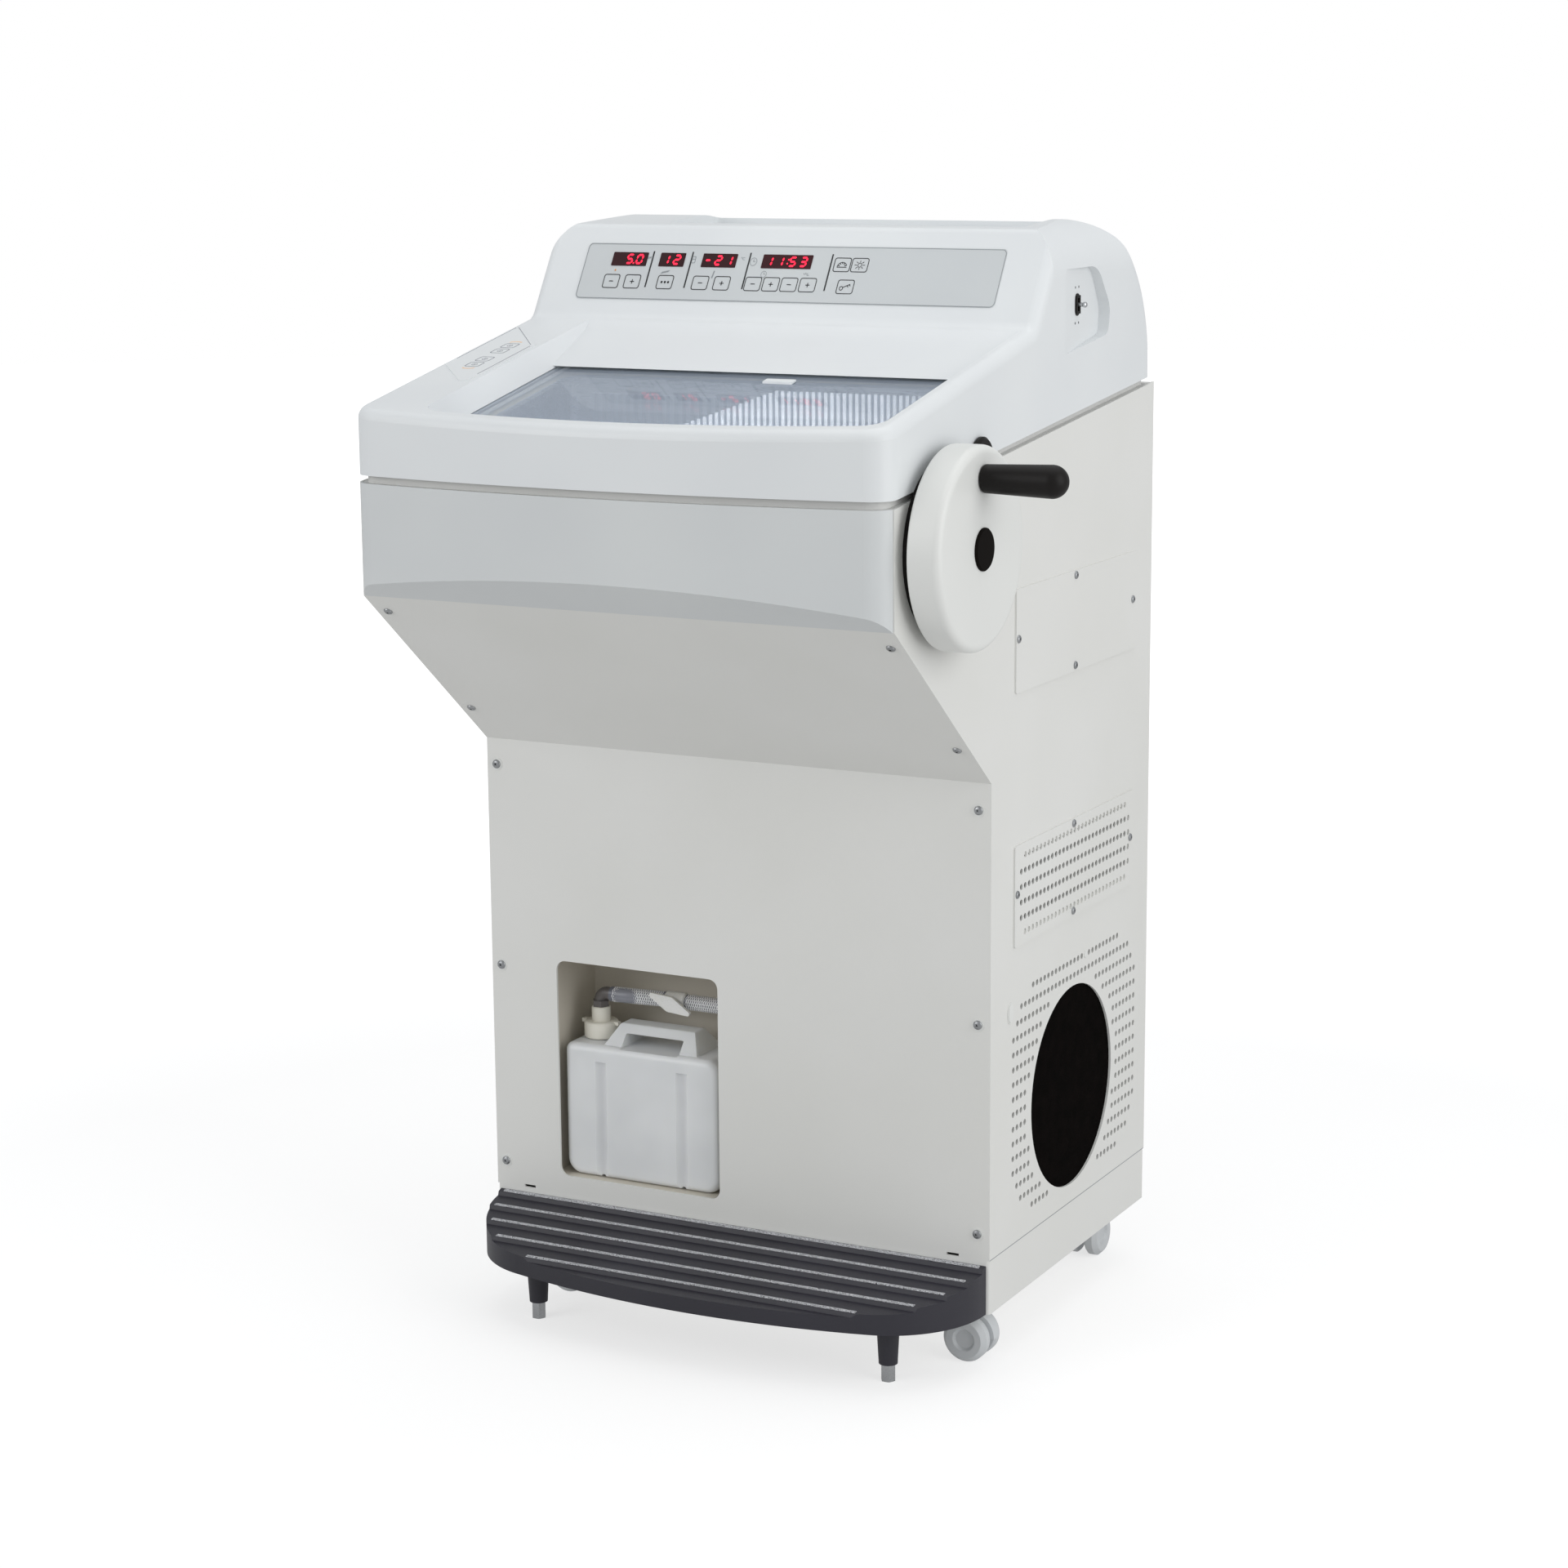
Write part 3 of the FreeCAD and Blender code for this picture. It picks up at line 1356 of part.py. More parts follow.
def waste_bottle():
    """Flat canister with grooves in front, notches under them, a neck and a saddle grip with a finger slot."""
    x0 = bottle_left()
    x1 = x0 + bottle_width
    y0, y1 = bottle_front, bottle_front + bottle_depth
    floor, top = bottle_floor(), bottle_top()
    face = [(x0, floor), (x1, floor), (x1, top), (x0, top)]
    body = prism(face, [bottle_radius, bottle_radius, bottle_radius, shoulder_radius], "XZ", y0, y1)
    rounded = [edge for edge in body.Edges if abs(edge.BoundBox.YLength) < running_gap]
    body = body.makeFillet(bottle_edge, rounded)
    left, right = x0 + handle_left, x0 + handle_right
    saddle = [(y0 + saddle_front, top - bottle_edge), (y0 + saddle_front, top),
              (y0 + saddle_rise, top + handle_height),
              (y1 - saddle_rise, top + handle_height), (y1 - saddle_front, top),
              (y1 - saddle_front, top - bottle_edge)]
    saddle = prism(saddle, [0, saddle_radius, saddle_radius, saddle_radius, saddle_radius, 0], "YZ",
                   left - handle_slope, right + handle_slope)
    sides = prism([(left - handle_slope, top - bottle_edge), (right + handle_slope, top - bottle_edge),
                   (right, top + handle_height), (left, top + handle_height)],
                   [0, 0, saddle_radius, saddle_radius],
                  "XZ", y0, y1)
    slot = prism([(left + handle_side, top - saddle_radius / 2),
                  (right - handle_side, top - saddle_radius / 2),
                  (right - handle_side, top + handle_height - handle_bar),
                  (left + handle_side, top + handle_height - handle_bar)], saddle_radius / 2, "XZ", y0, y1)
    body = body.fuse(saddle.common(sides)).cut(slot)
    for x in (x0 + groove_place, x1 - groove_place):
        groove = rod("Z", (x, y0 - groove_radius + groove_depth), groove_radius, floor, top - bottle_radius)
        body = body.cut(groove.fuse(rod("Y", (x, floor), groove_depth, y0, y1)))
    neck = rod("Z", neck_centre(), neck_radius, top - bottle_wall, top + neck_height)
    body = body.fuse(neck).removeSplitter()
    room = rod("Z", neck_centre(), neck_radius - bottle_wall, top - bottle_radius,
               top + neck_height + bottle_wall)
    side = bottle_edge + bottle_wall
    inner = box((x0 + side, x1 - side), (y0 + groove_depth + bottle_wall, y1 - bottle_wall),
                (floor + groove_depth + bottle_wall, top - 2 * bottle_wall))
    return body.cut(inner).cut(room)


def bottle_left():
    """The bottle stands close to the left edge of the recess's mouth."""
    return recess_left + bottle_side_gap


def neck_centre():
    return (bottle_left() + neck_place, bottle_front + neck_back)


def bottle_cap():
    """Screw cap on the neck with two wings and a hole for the adapter."""
    top = bottle_top()
    centre = neck_centre()
    high = top + cap_height
    profile = [(top + 0.5, neck_radius), (top + 0.5, cap_radius), (high, cap_radius),
               (high, adapter_radius - 3),
               (top + neck_height, adapter_radius - 3), (top + neck_height, neck_radius)]
    body = turned(profile, "Z", centre, [0, 1.5, 1.5, 0, 0, 0])
    wing = box((centre[0] - wing_span / 2, centre[0] + wing_span / 2),
               (centre[1] - wing_width / 2, centre[1] + wing_width / 2), (high - wing_height, high))
    return body.fuse(wing.cut(rod("Z", centre, cap_radius - 2, 0, far))).removeSplitter()


def hose_adapter():
    """Straight adapter tube that stands on the cap."""
    base = bottle_top() + cap_height
    profile = [(base, adapter_radius - 4), (base, adapter_radius), (base + adapter_height, adapter_radius),
               (base + adapter_height, adapter_radius - 4)]
    return turned(profile, "Z", neck_centre(), [0, 0, 1.0, 0])


def hose_height():
    return bottle_top() + cap_height + adapter_height + elbow_hex_height + elbow_rise


def hose_elbow():
    """Right-angle fitting with a hexagon foot; its bend is a quarter of a ring."""
    x, y = neck_centre()
    base = bottle_top() + cap_height + adapter_height
    foot = hexagon((x, y), elbow_hex, base, base + elbow_hex_height)
    bend = elbow_rise
    upright = Part.Wire([Part.makeCircle(elbow_radius * 0.9, V(x, y, base + elbow_hex_height), V(0, 0, 1))])
    path = Part.Wire([Part.Arc(V(x, y, base + elbow_hex_height),
                               V(x + bend * (1 - math.cos(math.pi / 4)), y, base + elbow_hex_height
                                 + bend * math.sin(math.pi / 4)),
                               V(x + bend, y, base + elbow_hex_height + bend)).toShape()])
    curve = path.makePipeShell([upright], True, True)
    barb = rod("X", (y, hose_height()), elbow_radius * 0.9, x + bend - 0.01, x + elbow_reach)
    return foot.multiFuse([curve, barb])


def hose_start():
    return V(neck_centre()[0] + elbow_reach, neck_centre()[1], hose_height())


def tap_start():
    return hose_start() + V(hose_first, hose_back_step, 0)


def tap_end():
    return tap_start() + V(tap_length, 0, 0)


def hose_end():
    """The hose stops in line with the bottle's side, just short of the spigot."""
    return bottle_left() + bottle_width


def drain_hose():
    """Two lengths of clear hose: cap to tap with a slight double bend, then tap to the spigot."""
    start, end = hose_start(), tap_start()
    quarter = V((end.x - start.x) / 4, 0, 0)
    first = hose_run([start, start + quarter, end - quarter, end])
    second = rod("X", spigot_centre(), hose_radius, tap_end().x, hose_end())
    return Part.makeCompound([first, second])


def hose_run(points):
    """Tube along straight runs that tangent arcs join."""
    edges = []
    last = points[0]
    for before, bend, after in zip(points, points[1:], points[2:]):
        into, out = before - bend, after - bend
        run = min(into.Length, out.Length) * arc_share
        into.normalize()
        out.normalize()
        half = math.acos(into.dot(out)) / 2
        bisector = into + out
        bisector.normalize()
        rise = run / math.cos(half) - run * math.tan(half)
        a, b = bend + into * run, bend + out * run
        edges += [Part.LineSegment(last, a).toShape(), Part.Arc(a, bend + bisector * rise, b).toShape()]
        print("hose bend radius", round(run * math.tan(half), 1))
        last = b
    edges.append(Part.LineSegment(last, points[-1]).toShape())
    ring = Part.Wire([Part.makeCircle(hose_radius, points[0], points[1] - points[0])])
    return Part.Wire(edges).makePipeShell([ring], True, True)


def tap_body():
    """Valve body between the two lengths of hose, with the neck of its handle."""
    start, end = tap_start(), tap_end()
    middle = (start.x + end.x) / 2
    barrel = turned([(start.x, 0), (start.x, tap_body_radius), (end.x, tap_body_radius), (end.x, 0)],
                    "X", (start.y, start.z), [0, 2.0, 2.0, 0])
    neck = rod("Y", (middle, start.z), tap_stem_radius, start.y - tap_body_radius - 3, start.y)
    return join([barrel, neck])


def tap_front():
    return tap_start().y - tap_body_radius - 3 - running_gap


def tap_handle():
    """Winged handle that turns on the neck of the tap."""
    x, z = (tap_start().x + tap_end().x) / 2, tap_start().z
    front = tap_front()
    boss = rod("Y", (x, z), tap_stem_radius + 3, front - tap_handle_height, front)
    wing = prism([(x - tap_handle_span / 2, z - 2), (x, z - tap_handle_width / 2),
                  (x + tap_handle_span / 2, z - 2),
                  (x + tap_handle_span / 2, z + 2), (x, z + tap_handle_width / 2),
                  (x - tap_handle_span / 2, z + 2)],
                 [1.5, 6.0, 1.5, 1.5, 6.0, 1.5], "XZ", front - tap_handle_height, front - 1)
    body = join([boss, wing])
    body.rotate(V(x, 0, z), V(0, 1, 0), tap_angle)
    return body


def spigot_centre():
    return (tap_end().y, tap_end().z)


def foot_plan(depth):
    peak = -foot_shoulder - 2 * foot_bow
    points = [(-foot_half_width, 0), (-foot_shoulder_width, -foot_shoulder), (0, peak),
              (foot_shoulder_width, -foot_shoulder), (foot_half_width, 0)]
    slope = math.atan2(2 * foot_bow, foot_shoulder_width)
    lean = math.atan2(foot_half_width - foot_shoulder_width, foot_shoulder)
    corner_reach = foot_corner_radius * math.tan((math.pi / 2 - slope + lean) / 2)
    corner_reach = foot_corner_radius * math.tan((math.pi / 2 - slope - lean) / 2)
    bow_radius = (math.dist(points[1], points[2]) - corner_reach) / math.tan(slope) * 0.995
    radii = [0, foot_corner_radius, bow_radius, foot_corner_radius, 0]
    return inset(points, depth), inset_radii(points, radii, depth)


def tread_line(y):
    """Height of the plane that all tread edges touch from below."""
    return foot_top + tread_drop / tread_pitch * y


def footrest():
    """Hollow footrest with stepped treads, bowed front, a skirt all round and its two legs."""
    points, radii = foot_plan(0)
    top = [(0, plinth_bottom), (0, foot_top)]
    for i in range(tread_count):
        y = -(i + 0.25) * tread_pitch
        z = foot_top - (i + 0.25) * tread_drop
        top += [(y, z), (y - 1.5, z - tread_riser)]
    top += [(-far, top[-1][1] - 3.0), (-far, plinth_bottom)]
    body = prism(points, radii, "XY", plinth_bottom, foot_top).common(prism(top, 0, "YZ", -far, far))
    points, radii = foot_plan(foot_wall)
    hollow = prism(points, radii, "XY", plinth_bottom - 1, foot_top)
    body = body.cut(hollow.common(under_treads()))
    return join([body] + footrest_legs())


def under_treads(rise=0.0):
    """The space below the underside of the treads, or that much higher."""
    low = foot_wall + tread_riser - rise
    return prism([(far, plinth_bottom - far), (far, tread_line(far) - low), (-far, tread_line(-far) - low),
                  (-far, plinth_bottom - far)], 0, "YZ", -far, far)


def footrest_legs():
    """Two tapered legs up into the treads, bored for the adjustable feet."""
    legs = []
    bore = foot_flats / math.sqrt(3) + running_gap
    for x in (-leg_x, leg_x):
        profile = [(leg_low, 0), (leg_low, leg_low_radius), (plinth_bottom, leg_top_radius),
                   (foot_top, leg_top_radius),
                   (foot_top, 0)]
        leg = turned(profile, "Z", (x, leg_y)).common(under_treads(foot_wall / 2))
        legs.append(leg.cut(rod("Z", (x, leg_y), bore, leg_low - 1, leg_low + foot_insert + 1)))
    return legs


def adjustable_foot(x):
    """Hexagonal steel tip that screws down out of its leg."""
    body = hexagon((x, leg_y), foot_flats, 0, leg_low + foot_insert)
    cone = turned([(0, 0), (0, foot_flats / 2 - 1), (leg_low + foot_insert, far / 2),
                   (leg_low + foot_insert, 0)],
                  "Z", (x, leg_y))
    return body.common(cone)


def castor_top():
    return plinth_bottom - castor_plate


def castor(x, y, turn):
    """Twin-wheel castor: swivel body with hood and web, and the pair of wheels on their axle."""
    axle = (castor_trail, castor_wheel_radius)
    top = castor_top() - running_gap
    stem = rod("Z", (0, 0), castor_stem_radius, top - castor_stem_height, top)
    web = castor_web / 2
    plate = rod("Y", axle, castor_wheel_radius * 0.62, -web, web)
    block = prism([(-8, top - castor_stem_height + 1), (castor_trail + 10, top - castor_stem_height + 1),
                   (castor_trail + 12, castor_wheel_radius), (castor_trail - 10, castor_wheel_radius - 8)],
                  [0, 4.0, 0, 0], "XZ", -web, web)
    hood = rod("Y", axle, castor_hood_radius - 0.5, -web, web).common(
        box((castor_trail, far), (-far, far), (castor_wheel_radius, top - 1)))
    bore = rod("Y", axle, castor_axle_radius + running_fit, -far, far)
    body = join([stem, plate, block, hood]).cut(bore)
    inner = web + castor_side_gap
    outer = inner + castor_wheel_width
    wheels = []
    for side in (-1, 1):
        profile = [(side * inner, 0), (side * inner, castor_wheel_radius),
                   (side * outer, castor_wheel_radius),
                   (side * outer, castor_wheel_radius * 0.5), (side * (outer - 3), castor_wheel_radius * 0.4),
                   (side * (outer - 3), 0)]
        wheels.append(turned(profile, "Y", axle, [0, 2.0, 5.0, 1.0, 0, 0]))
    wheels.append(rod("Y", axle, castor_axle_radius, -inner - 1, inner + 1))
    pair = join(wheels)
    for shape in (body, pair):
        shape.rotate(V(0, 0, 0), V(0, 0, 1), turn)
        shape.translate(V(x, y, 0))
    return body, pair


def back_panel():
    """Rear sheet with two fields of air slots."""
    inner = half_width - sheet
    body = box((-inner, inner), (cabinet_depth - panel, cabinet_depth),
               (plinth_top, side_back_top - panel - 1))
    for column in (-louvre_x, louvre_x):
        for i in range(louvre_count):
            z = louvre_start + i * louvre_pitch
            slot = rectangle((column - louvre_length / 2, column + louvre_length / 2), (z, z + louvre_height))
            body = body.cut(prism(slot, 0, "XZ", cabinet_depth - panel - 1, cabinet_depth + 1))
    return body.cut(rod("Y", (gland_x, gland_height), gland_radius - 3, 0, far))


def mains_gland():
    """Screwed gland where the mains cord would enter, with its empty bore."""
    face = cabinet_depth
    profile = [(face - panel - 4, gland_bore), (face - panel - 4, gland_radius - 3 - running_gap),
               (face, gland_radius - 3 - running_gap),
               (face, gland_radius), (face + gland_length * 0.5, gland_radius),
               (face + gland_length, gland_radius - 3.5),
               (face + gland_length, gland_bore)]
    return turned(profile, "Y", (gland_x, gland_height), [0, 0, 0, 0, 2.0, 1.0, 0])


def rear_bumpers():
    """Four turned spacers that keep the back off a wall."""
    bumpers = []
    for x in (-bumper_x, bumper_x):
        for z in (bumper_low, bumper_high):
            profile = [(cabinet_depth, 0), (cabinet_depth, bumper_radius),
                       (cabinet_depth + bumper_length, bumper_radius * 0.7),
                       (cabinet_depth + bumper_length, 0)]
            bumpers.append(turned(profile, "Y", (x, z), [0, 0, 3.0, 0]))
    return Part.makeCompound(bumpers)


def build():
    """All pieces by node name, in the working frame."""
    nodes = {
        "base_plinth": plinth(),
        "side_panel_left": mirrored(side_panel()),
        "side_panel_right": right_side_panel(),
        "service_cover": service_cover(),
        "vent_cover": vent_cover(),
        "intake_mesh": intake_mesh(),
        "lower_front_panel": lower_front_panel(),
        "slanted_panel": slanted_panel(),
        "front_cover": front_cover(),
        "deck": deck(),
        "back_panel": back_panel(),
        "mains_gland": mains_gland(),
        "rear_bumpers": rear_bumpers(),
        "upper_shell": upper_shell(),
        "control_membrane": control_membrane(),
        "armrest_keypad": armrest_keypad(),
        "window_pane": window_pane(),
        "window_catch": window_catch(),
        "window_rails": window_rails(),
        "chamber_foam": chamber_foam(),
        "chamber_tub": chamber_tub(),
        "cold_plate": cold_plate(),
        "microtome_housing": microtome_housing(),
        "specimen_slide": specimen_slide(),
        "feed_cylinder": feed_cylinder(),
        "specimen_disc": specimen_disc(),
        "knife_base": knife_base(),
        "blade_clamp": blade_clamp(),
        "anti_roll_guide": anti_roll_guide(),
        "wheel_shaft": wheel_shaft(),
        "shaft_bearing": shaft_bearing(),
        "handwheel": handwheel(),
        "hub_cap": hub_cap(),
        "wheel_grip": wheel_grip(),
        "brake_lever": brake_lever(),
        "switch_base": switch_base(),
        "toggle_lever": toggle_lever(),
        "condenser": condenser(),
        "fan_shroud": fan_shroud(),
        "fan_rotor": fan_rotor(),
        "compressor": compressor(),
        "recess_liner": recess_liner(),
        "waste_bottle": waste_bottle(),
        "bottle_cap": bottle_cap(),
        "hose_adapter": hose_adapter(),
        "hose_elbow": hose_elbow(),
        "drain_hose": drain_hose(),
        "tap_body": tap_body(),
        "tap_handle": tap_handle(),
        "footrest": footrest(),
        "foot_left": adjustable_foot(-leg_x),
        "foot_right": adjustable_foot(leg_x),
    }
    for name, x in (("left", -castor_x), ("right", castor_x)):
        for place, y, turn in (("front", castor_front, 0), ("back", castor_back, 90)):
            body, wheels = castor(x, y, turn)
            nodes["castor_" + place + "_" + name] = body
            nodes["castor_wheels_" + place + "_" + name] = wheels
    return nodes


def export(nodes):
    """Centre the whole part over the origin and write one file for each node."""
    grip_end = wheel_back + wheel_thickness + grip_length
    shift = V(-(grip_end - half_width) / 2, -(cabinet_depth + bumper_length + front_apex) / 2, 0)
    os.makedirs("parts", exist_ok=True)
    for name, shape in nodes.items():
        shape.translate(shift)
        shape.exportStep("parts/" + name + ".step")
    print(len(nodes), "nodes, shift", shift)


export(build())
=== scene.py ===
# %% [markdown]
# A cryostat, dressed for its picture
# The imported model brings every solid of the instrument. This script gives each one its finish and adds
# what is too small or too thin for the solids: screws, printed keys, displays, braid and grit.

# %% Load the frame
import json
import math
import bmesh
import bpy
from mathutils import Matrix, Vector


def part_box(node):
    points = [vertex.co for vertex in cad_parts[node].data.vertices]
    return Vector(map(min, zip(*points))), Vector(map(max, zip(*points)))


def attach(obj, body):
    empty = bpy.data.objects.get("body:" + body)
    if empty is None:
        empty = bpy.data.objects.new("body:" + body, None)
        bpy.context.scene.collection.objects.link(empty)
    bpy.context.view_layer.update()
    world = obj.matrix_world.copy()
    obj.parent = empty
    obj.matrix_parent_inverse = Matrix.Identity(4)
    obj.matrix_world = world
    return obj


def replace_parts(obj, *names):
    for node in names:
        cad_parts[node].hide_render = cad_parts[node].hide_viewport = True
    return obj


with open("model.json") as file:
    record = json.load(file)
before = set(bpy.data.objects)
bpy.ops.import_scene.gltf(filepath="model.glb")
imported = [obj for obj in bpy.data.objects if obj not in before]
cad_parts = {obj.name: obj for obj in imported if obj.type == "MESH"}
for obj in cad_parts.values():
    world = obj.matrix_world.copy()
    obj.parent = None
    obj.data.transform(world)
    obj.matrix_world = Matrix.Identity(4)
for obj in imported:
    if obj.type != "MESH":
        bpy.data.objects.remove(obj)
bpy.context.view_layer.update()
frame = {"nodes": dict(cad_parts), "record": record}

# %% [markdown]
# Measures on an instrument like this are taken from the cabinet: across from its middle, back from the
# face of the lower front panel, up from the floor, all in millimetres. One helper turns them into the
# scene's metres, so that every later number reads like a workshop drawing.

# %% Cabinet measures to scene metres
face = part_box("lower_front_panel")[0].y
plinth_low, plinth_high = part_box("base_plinth")
middle = (plinth_low.x + plinth_high.x) / 2


def at(across, back, up):
    return Vector((middle + across / 1000, face + back / 1000, up / 1000))


def way(across, back, up):
    return Vector((across, back, up)).normalized()


print("cabinet middle at", round(middle, 4), "and its face at", round(face, 4))

# %% [markdown]
# The camera stands at the front right, a little above the instrument, and looks slightly down. Its
# place was worked out from the picture with a long lens, which keeps the tall cabinet's sides nearly
# parallel.

# %% Camera
lens = 78.72
stand = at(1677.836, -3104.813, 1321.562)
turn, tip, lean = math.radians(27.465), math.radians(11.501), math.radians(-0.459)
camera_data = bpy.data.cameras.new("camera")
camera_data.lens = lens
camera_data.sensor_width = 36
camera_data.clip_end = 60
camera = bpy.data.objects.new("camera", camera_data)
bpy.context.scene.collection.objects.link(camera)
forward = Vector((-math.sin(turn) * math.cos(tip), math.cos(turn) * math.cos(tip), -math.sin(tip)))
right = Vector((math.cos(turn), math.sin(turn), 0))
over = right.cross(forward)
right, over = (right * math.cos(lean) + over * math.sin(lean),
               over * math.cos(lean) - right * math.sin(lean))
camera.matrix_world = Matrix.Translation(stand) @ Matrix((right, over, -forward)).transposed().to_4x4()
bpy.context.scene.camera = camera
bpy.context.scene.view_settings.view_transform = "Standard"
print("camera stands", round((camera.location - at(0, 0, 600)).length, 2), "m from the cabinet")

# %% [markdown]
# A product picture on white has soft light from large sheets of diffuser. A big overhead softbox and
# two side ones do that here, and a narrow strip that can't be seen itself lights the chamber behind the
# window. The world is a calm grey for lighting, and plain white only where the camera looks at it,
# straight or through glass.

# %% Light and background
world = bpy.data.worlds.new("studio")
world.use_nodes = True
bpy.context.scene.world = world
sky = world.node_tree
sky.nodes["Background"].inputs["Strength"].default_value = 0.5
sky.nodes["Background"].inputs["Color"].default_value = (0.96, 0.98, 1.0, 1)
seen = sky.nodes.new("ShaderNodeBackground")
seen.inputs["Color"].default_value = (1, 1, 1, 1)
seen.inputs["Strength"].default_value = 1.0
rays = sky.nodes.new("ShaderNodeLightPath")
either = sky.nodes.new("ShaderNodeMath")
either.operation = "MAXIMUM"
sky.links.new(rays.outputs["Is Camera Ray"], either.inputs[0])
sky.links.new(rays.outputs["Is Transmission Ray"], either.inputs[1])
choose = sky.nodes.new("ShaderNodeMixShader")
sky.links.new(either.outputs[0], choose.inputs[0])
sky.links.new(sky.nodes["Background"].outputs[0], choose.inputs[1])
sky.links.new(seen.outputs[0], choose.inputs[2])
sky.links.new(choose.outputs[0], sky.nodes["World Output"].inputs["Surface"])


def softbox(name, place, target, width, height, power):
    data = bpy.data.lights.new(name, "AREA")
    data.shape = "RECTANGLE"
    data.size, data.size_y = width, height
    data.energy = power
    lamp = bpy.data.objects.new(name, data)
    lamp.location = place
    lamp.rotation_euler = (target - place).to_track_quat("-Z", "Y").to_euler()
    bpy.context.scene.collection.objects.link(lamp)
    return lamp


softbox("overhead", at(200, 500, 3600), at(0, 100, 700), 3.2, 3.2, 31)
softbox("right_side", at(3300, -500, 1700), at(100, 100, 800), 2.4, 3.0, 48)
softbox("left_front", at(-2300, -3300, 2200), at(0, 0, 800), 2.4, 2.4, 48)
strip = softbox("chamber_strip", at(60, -205, 978), at(60, 8, 930), 0.36, 0.03, 0.95)
strip.visible_camera = strip.visible_glossy = strip.visible_transmission = False
print(len(bpy.data.lights), "lamps, of", round(sum(lamp.energy for lamp in bpy.data.lights)), "W in all")

# %% [markdown]
# The floor is one large pale disc that works like a light table: it glows a little, which lights the
# undersides from below as in the picture. It is also an ordinary matt surface, so it keeps the soft
# shadow, and towards the camera its glow grows with the distance until it is plain white and shows no
# horizon.

# %% Floor


def ring_points(count, radius):
    return [(radius * math.cos(2 * math.pi * i / count), radius * math.sin(2 * math.pi * i / count))
            for i in range(count)]


floor_sides, floor_radius = 64, 14
glow_on_part, glow_near, glow_far = 0.24, 0.66, 1.0
fade_from, fade_to = 1.2, 4.0
floor_mesh = bpy.data.meshes.new("floor")
floor_mesh.from_pydata([(x, y, 0) for x, y in ring_points(floor_sides, floor_radius)], [],
                       [list(range(floor_sides))])
floor = bpy.data.objects.new("floor", floor_mesh)
bpy.context.scene.collection.objects.link(floor)
floor_finish = bpy.data.materials.new("studio_floor")
floor_finish.use_nodes = True
ground = floor_finish.node_tree
matt = ground.nodes["Principled BSDF"]
matt.inputs["Base Color"].default_value = (0.42, 0.42, 0.42, 1)
matt.inputs["Roughness"].default_value = 0.9
matt.inputs["Specular IOR Level"].default_value = 0.0
glow = ground.nodes.new("ShaderNodeEmission")
rays = ground.nodes.new("ShaderNodeLightPath")
spot = ground.nodes.new("ShaderNodeTexCoord")
far_out = ground.nodes.new("ShaderNodeVectorMath")
far_out.operation = "LENGTH"
fade = ground.nodes.new("ShaderNodeMapRange")
fade.inputs["From Min"].default_value = fade_from
fade.inputs["From Max"].default_value = fade_to
fade.inputs["To Min"].default_value = glow_near
fade.inputs["To Max"].default_value = glow_far
share = ground.nodes.new("ShaderNodeMapRange")
share.inputs["To Min"].default_value = glow_on_part
ground.links.new(spot.outputs["Object"], far_out.inputs[0])
ground.links.new(far_out.outputs["Value"], fade.inputs["Value"])
ground.links.new(fade.outputs["Result"], share.inputs["To Max"])
ground.links.new(rays.outputs["Is Camera Ray"], share.inputs["Value"])
ground.links.new(share.outputs["Result"], glow.inputs["Strength"])
both = ground.nodes.new("ShaderNodeAddShader")
ground.links.new(matt.outputs[0], both.inputs[0])
ground.links.new(glow.outputs[0], both.inputs[1])
ground.links.new(both.outputs[0], ground.nodes["Material Output"].inputs["Surface"])
floor_mesh.materials.append(floor_finish)
print("floor disc of", floor_radius, "m radius, plain white from", fade_to, "m out")

# %% [markdown]
# Finishes come next. Real paint and plastic are never one flat colour: there is a faint cloud of tone
# across a panel, a fine grain that catches the light, and patches that shine a little more. Each finish
# below is the same short recipe with its own scale: a noise in the object's own space that feeds
# colour, roughness and bump.

# %% Helpers for finishes


def shade(code):
    """A colour written as on a paint card, turned into the linear numbers that the shader wants."""
    parts = [int(code[i:i + 2], 16) / 255 for i in (1, 3, 5)]
    return tuple(p / 12.92 if p <= 0.04045 else ((p + 0.055) / 1.055) ** 2.4 for p in parts)


def start_finish(name, code, roughness):
    finish = bpy.data.materials.new(name)
    finish.use_nodes = True
    shader = finish.node_tree.nodes["Principled BSDF"]
    shader.inputs["Base Color"].default_value = (*shade(code), 1)
    shader.inputs["Roughness"].default_value = roughness
    return finish, finish.node_tree, shader


def grain(tree, scale, detail=3.0, stretch=(1, 1, 1)):
    """Noise in the object's own metres; scale is how many grains fit in a metre."""
    place = tree.nodes.new("ShaderNodeTexCoord")
    size = tree.nodes.new("ShaderNodeMapping")
    size.inputs["Scale"].default_value = stretch
    noise = tree.nodes.new("ShaderNodeTexNoise")
    noise.inputs["Scale"].default_value = scale
    noise.inputs["Detail"].default_value = detail
    tree.links.new(place.outputs["Object"], size.inputs["Vector"])
    tree.links.new(size.outputs["Vector"], noise.inputs["Vector"])
    return noise.outputs["Fac"]


noise_low, noise_high = 0.3, 0.7


def colour_by(tree, shader, source, low, high, start=noise_low, stop=noise_high):
    ramp = tree.nodes.new("ShaderNodeValToRGB")
    ramp.color_ramp.elements[0].position = start
    ramp.color_ramp.elements[1].position = stop
    ramp.color_ramp.elements[0].color = (*shade(low), 1)
    ramp.color_ramp.elements[1].color = (*shade(high), 1)
    tree.links.new(source, ramp.inputs["Fac"])
    tree.links.new(ramp.outputs["Color"], shader.inputs["Base Color"])


